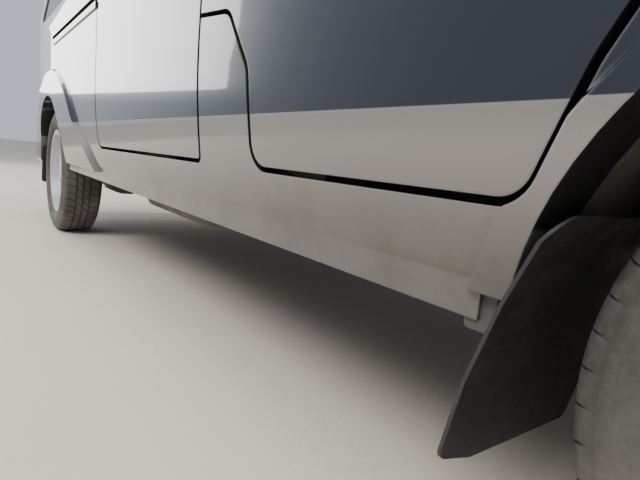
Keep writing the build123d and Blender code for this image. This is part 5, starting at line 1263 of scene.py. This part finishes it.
# %% Ribs, coils and dampers
COIL_FOOT, COIL_TOP = (0.5435, FRONT_AXLE, 0.505), (0.5035, FRONT_AXLE, 0.826)
COIL_R, COIL_TURNS, COIL_STEPS = 0.056, 5.5, 132
DAMPER_LOW, DAMPER_HIGH, BARREL_SHARE = (0.42, 1.27, 0.25), (0.4, 1.13, 0.505), 0.55
BRAKE_PIPE = [(0.392, -1.3, 0.345), (0.392, -0.2, 0.345), (0.455, 0.1, 0.42), (0.455, 1.15, 0.42),
              (0.3, 1.27, 0.345)]
row("floor_ribs", (0.03, 1.62, 0.004), 9, (-0.44, 0.93, 0.5222), (0.11, 0.0, 0.0), FLOOR_PAINT, 0.0018)
for hand, side in SIDES.items():
    foot, top = mirrored(COIL_FOOT, side), mirrored(COIL_TOP, side)
    lean = Vector((0, 0, 1)).rotation_difference(top - foot)
    coil = []
    for k in range(COIL_STEPS + 1):
        a = 2 * pi * COIL_TURNS * k / COIL_STEPS
        round_it = lean @ Vector((COIL_R * cos(a), COIL_R * sin(a), 0))
        coil.append(foot + (top - foot) * (k / COIL_STEPS) + round_it)
    tube(f"coil_{hand}", coil, 0.0058, CHASSIS, "knuckle_" + hand)
    low, high = mirrored(DAMPER_LOW, side), mirrored(DAMPER_HIGH, side)
    barrel = part_way(low, high, BARREL_SHARE)
    tube(f"damper_rod_{hand}", [barrel, high], 0.007, BRIGHT)
    tube(f"damper_{hand}", [low, barrel], 0.024, CHASSIS, sides=16)
tube("brake_pipe", BRAKE_PIPE, 0.0035, STEEL)

# %% [markdown]
# ## Floor, light and camera
# The light is an overcast sky's, broad and soft from above. The camera was fitted to the lines of the
# photograph: it crouches beside the right front wheel and looks back along the sill.

# %% Studio
bm = bmesh.new()
bmesh.ops.create_grid(bm, x_segments=2, y_segments=2, size=40)
floor = piece("floor", bm, pale_floor(), None, False)
floor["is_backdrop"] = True

world = bpy.data.worlds.new("studio")
bpy.context.scene.world = world
world.use_nodes = True
sky = world.node_tree.nodes["Background"]
sky.inputs["Color"].default_value = (0.82, 0.9, 1.0, 1.0)
sky.inputs["Strength"].default_value = 0.7


def softbox(name, place, target, size, power):
    """A broad rectangular lamp aimed at a point."""
    lamp = bpy.data.lights.new(name, "AREA")
    lamp.shape = "RECTANGLE"
    lamp.size, lamp.size_y = size
    lamp.energy = power
    lamp.color = (1.0, 0.98, 0.95)
    holder = put(name, lamp)
    holder.location = place
    aim = Vector(target) - Vector(place)
    holder.rotation_euler = aim.to_track_quat("-Z", "Y").to_euler()


softbox("key", (-5.0, -2.0, 5.0), (0, 0, 0.8), (5.0, 3.0), 500)
softbox("fill", (5.5, -3.0, 3.6), (0, 0, 0.9), (4.0, 3.0), 50)
softbox("top", (0, 0.3, 6.0), (0, 0, 0), (6.0, 5.0), 300)
softbox("rear", (-2.6, 6.5, 3.0), (-0.5, 0, 0.8), (3.0, 4.0), 170)

# %% Camera
EYE = Vector((-1.1491, -1.2749, 0.4321))
YAW, PITCH, ROLL = -0.6468, -0.1547, -0.0991
FOCAL_PX, FRAME_PX, SENSOR_MM = 485.0, 640, 36.0
camera = put("camera", bpy.data.cameras.new("camera"))
camera.data.sensor_width = SENSOR_MM
camera.data.lens = FOCAL_PX / FRAME_PX * SENSOR_MM
camera.data.clip_start = 0.01
heading = turned(YAW, "Z") @ turned(pi / 2 + PITCH, "X")
camera.matrix_world = Matrix.Translation(EYE) @ heading @ turned(-ROLL, "Z")
bpy.context.scene.camera = camera

# %% [markdown]
# ## Overall size
# Only the front number plate's thickness goes past the CAD box. The bounds of everything shown are measured.

# %% Overall size
low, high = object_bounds()
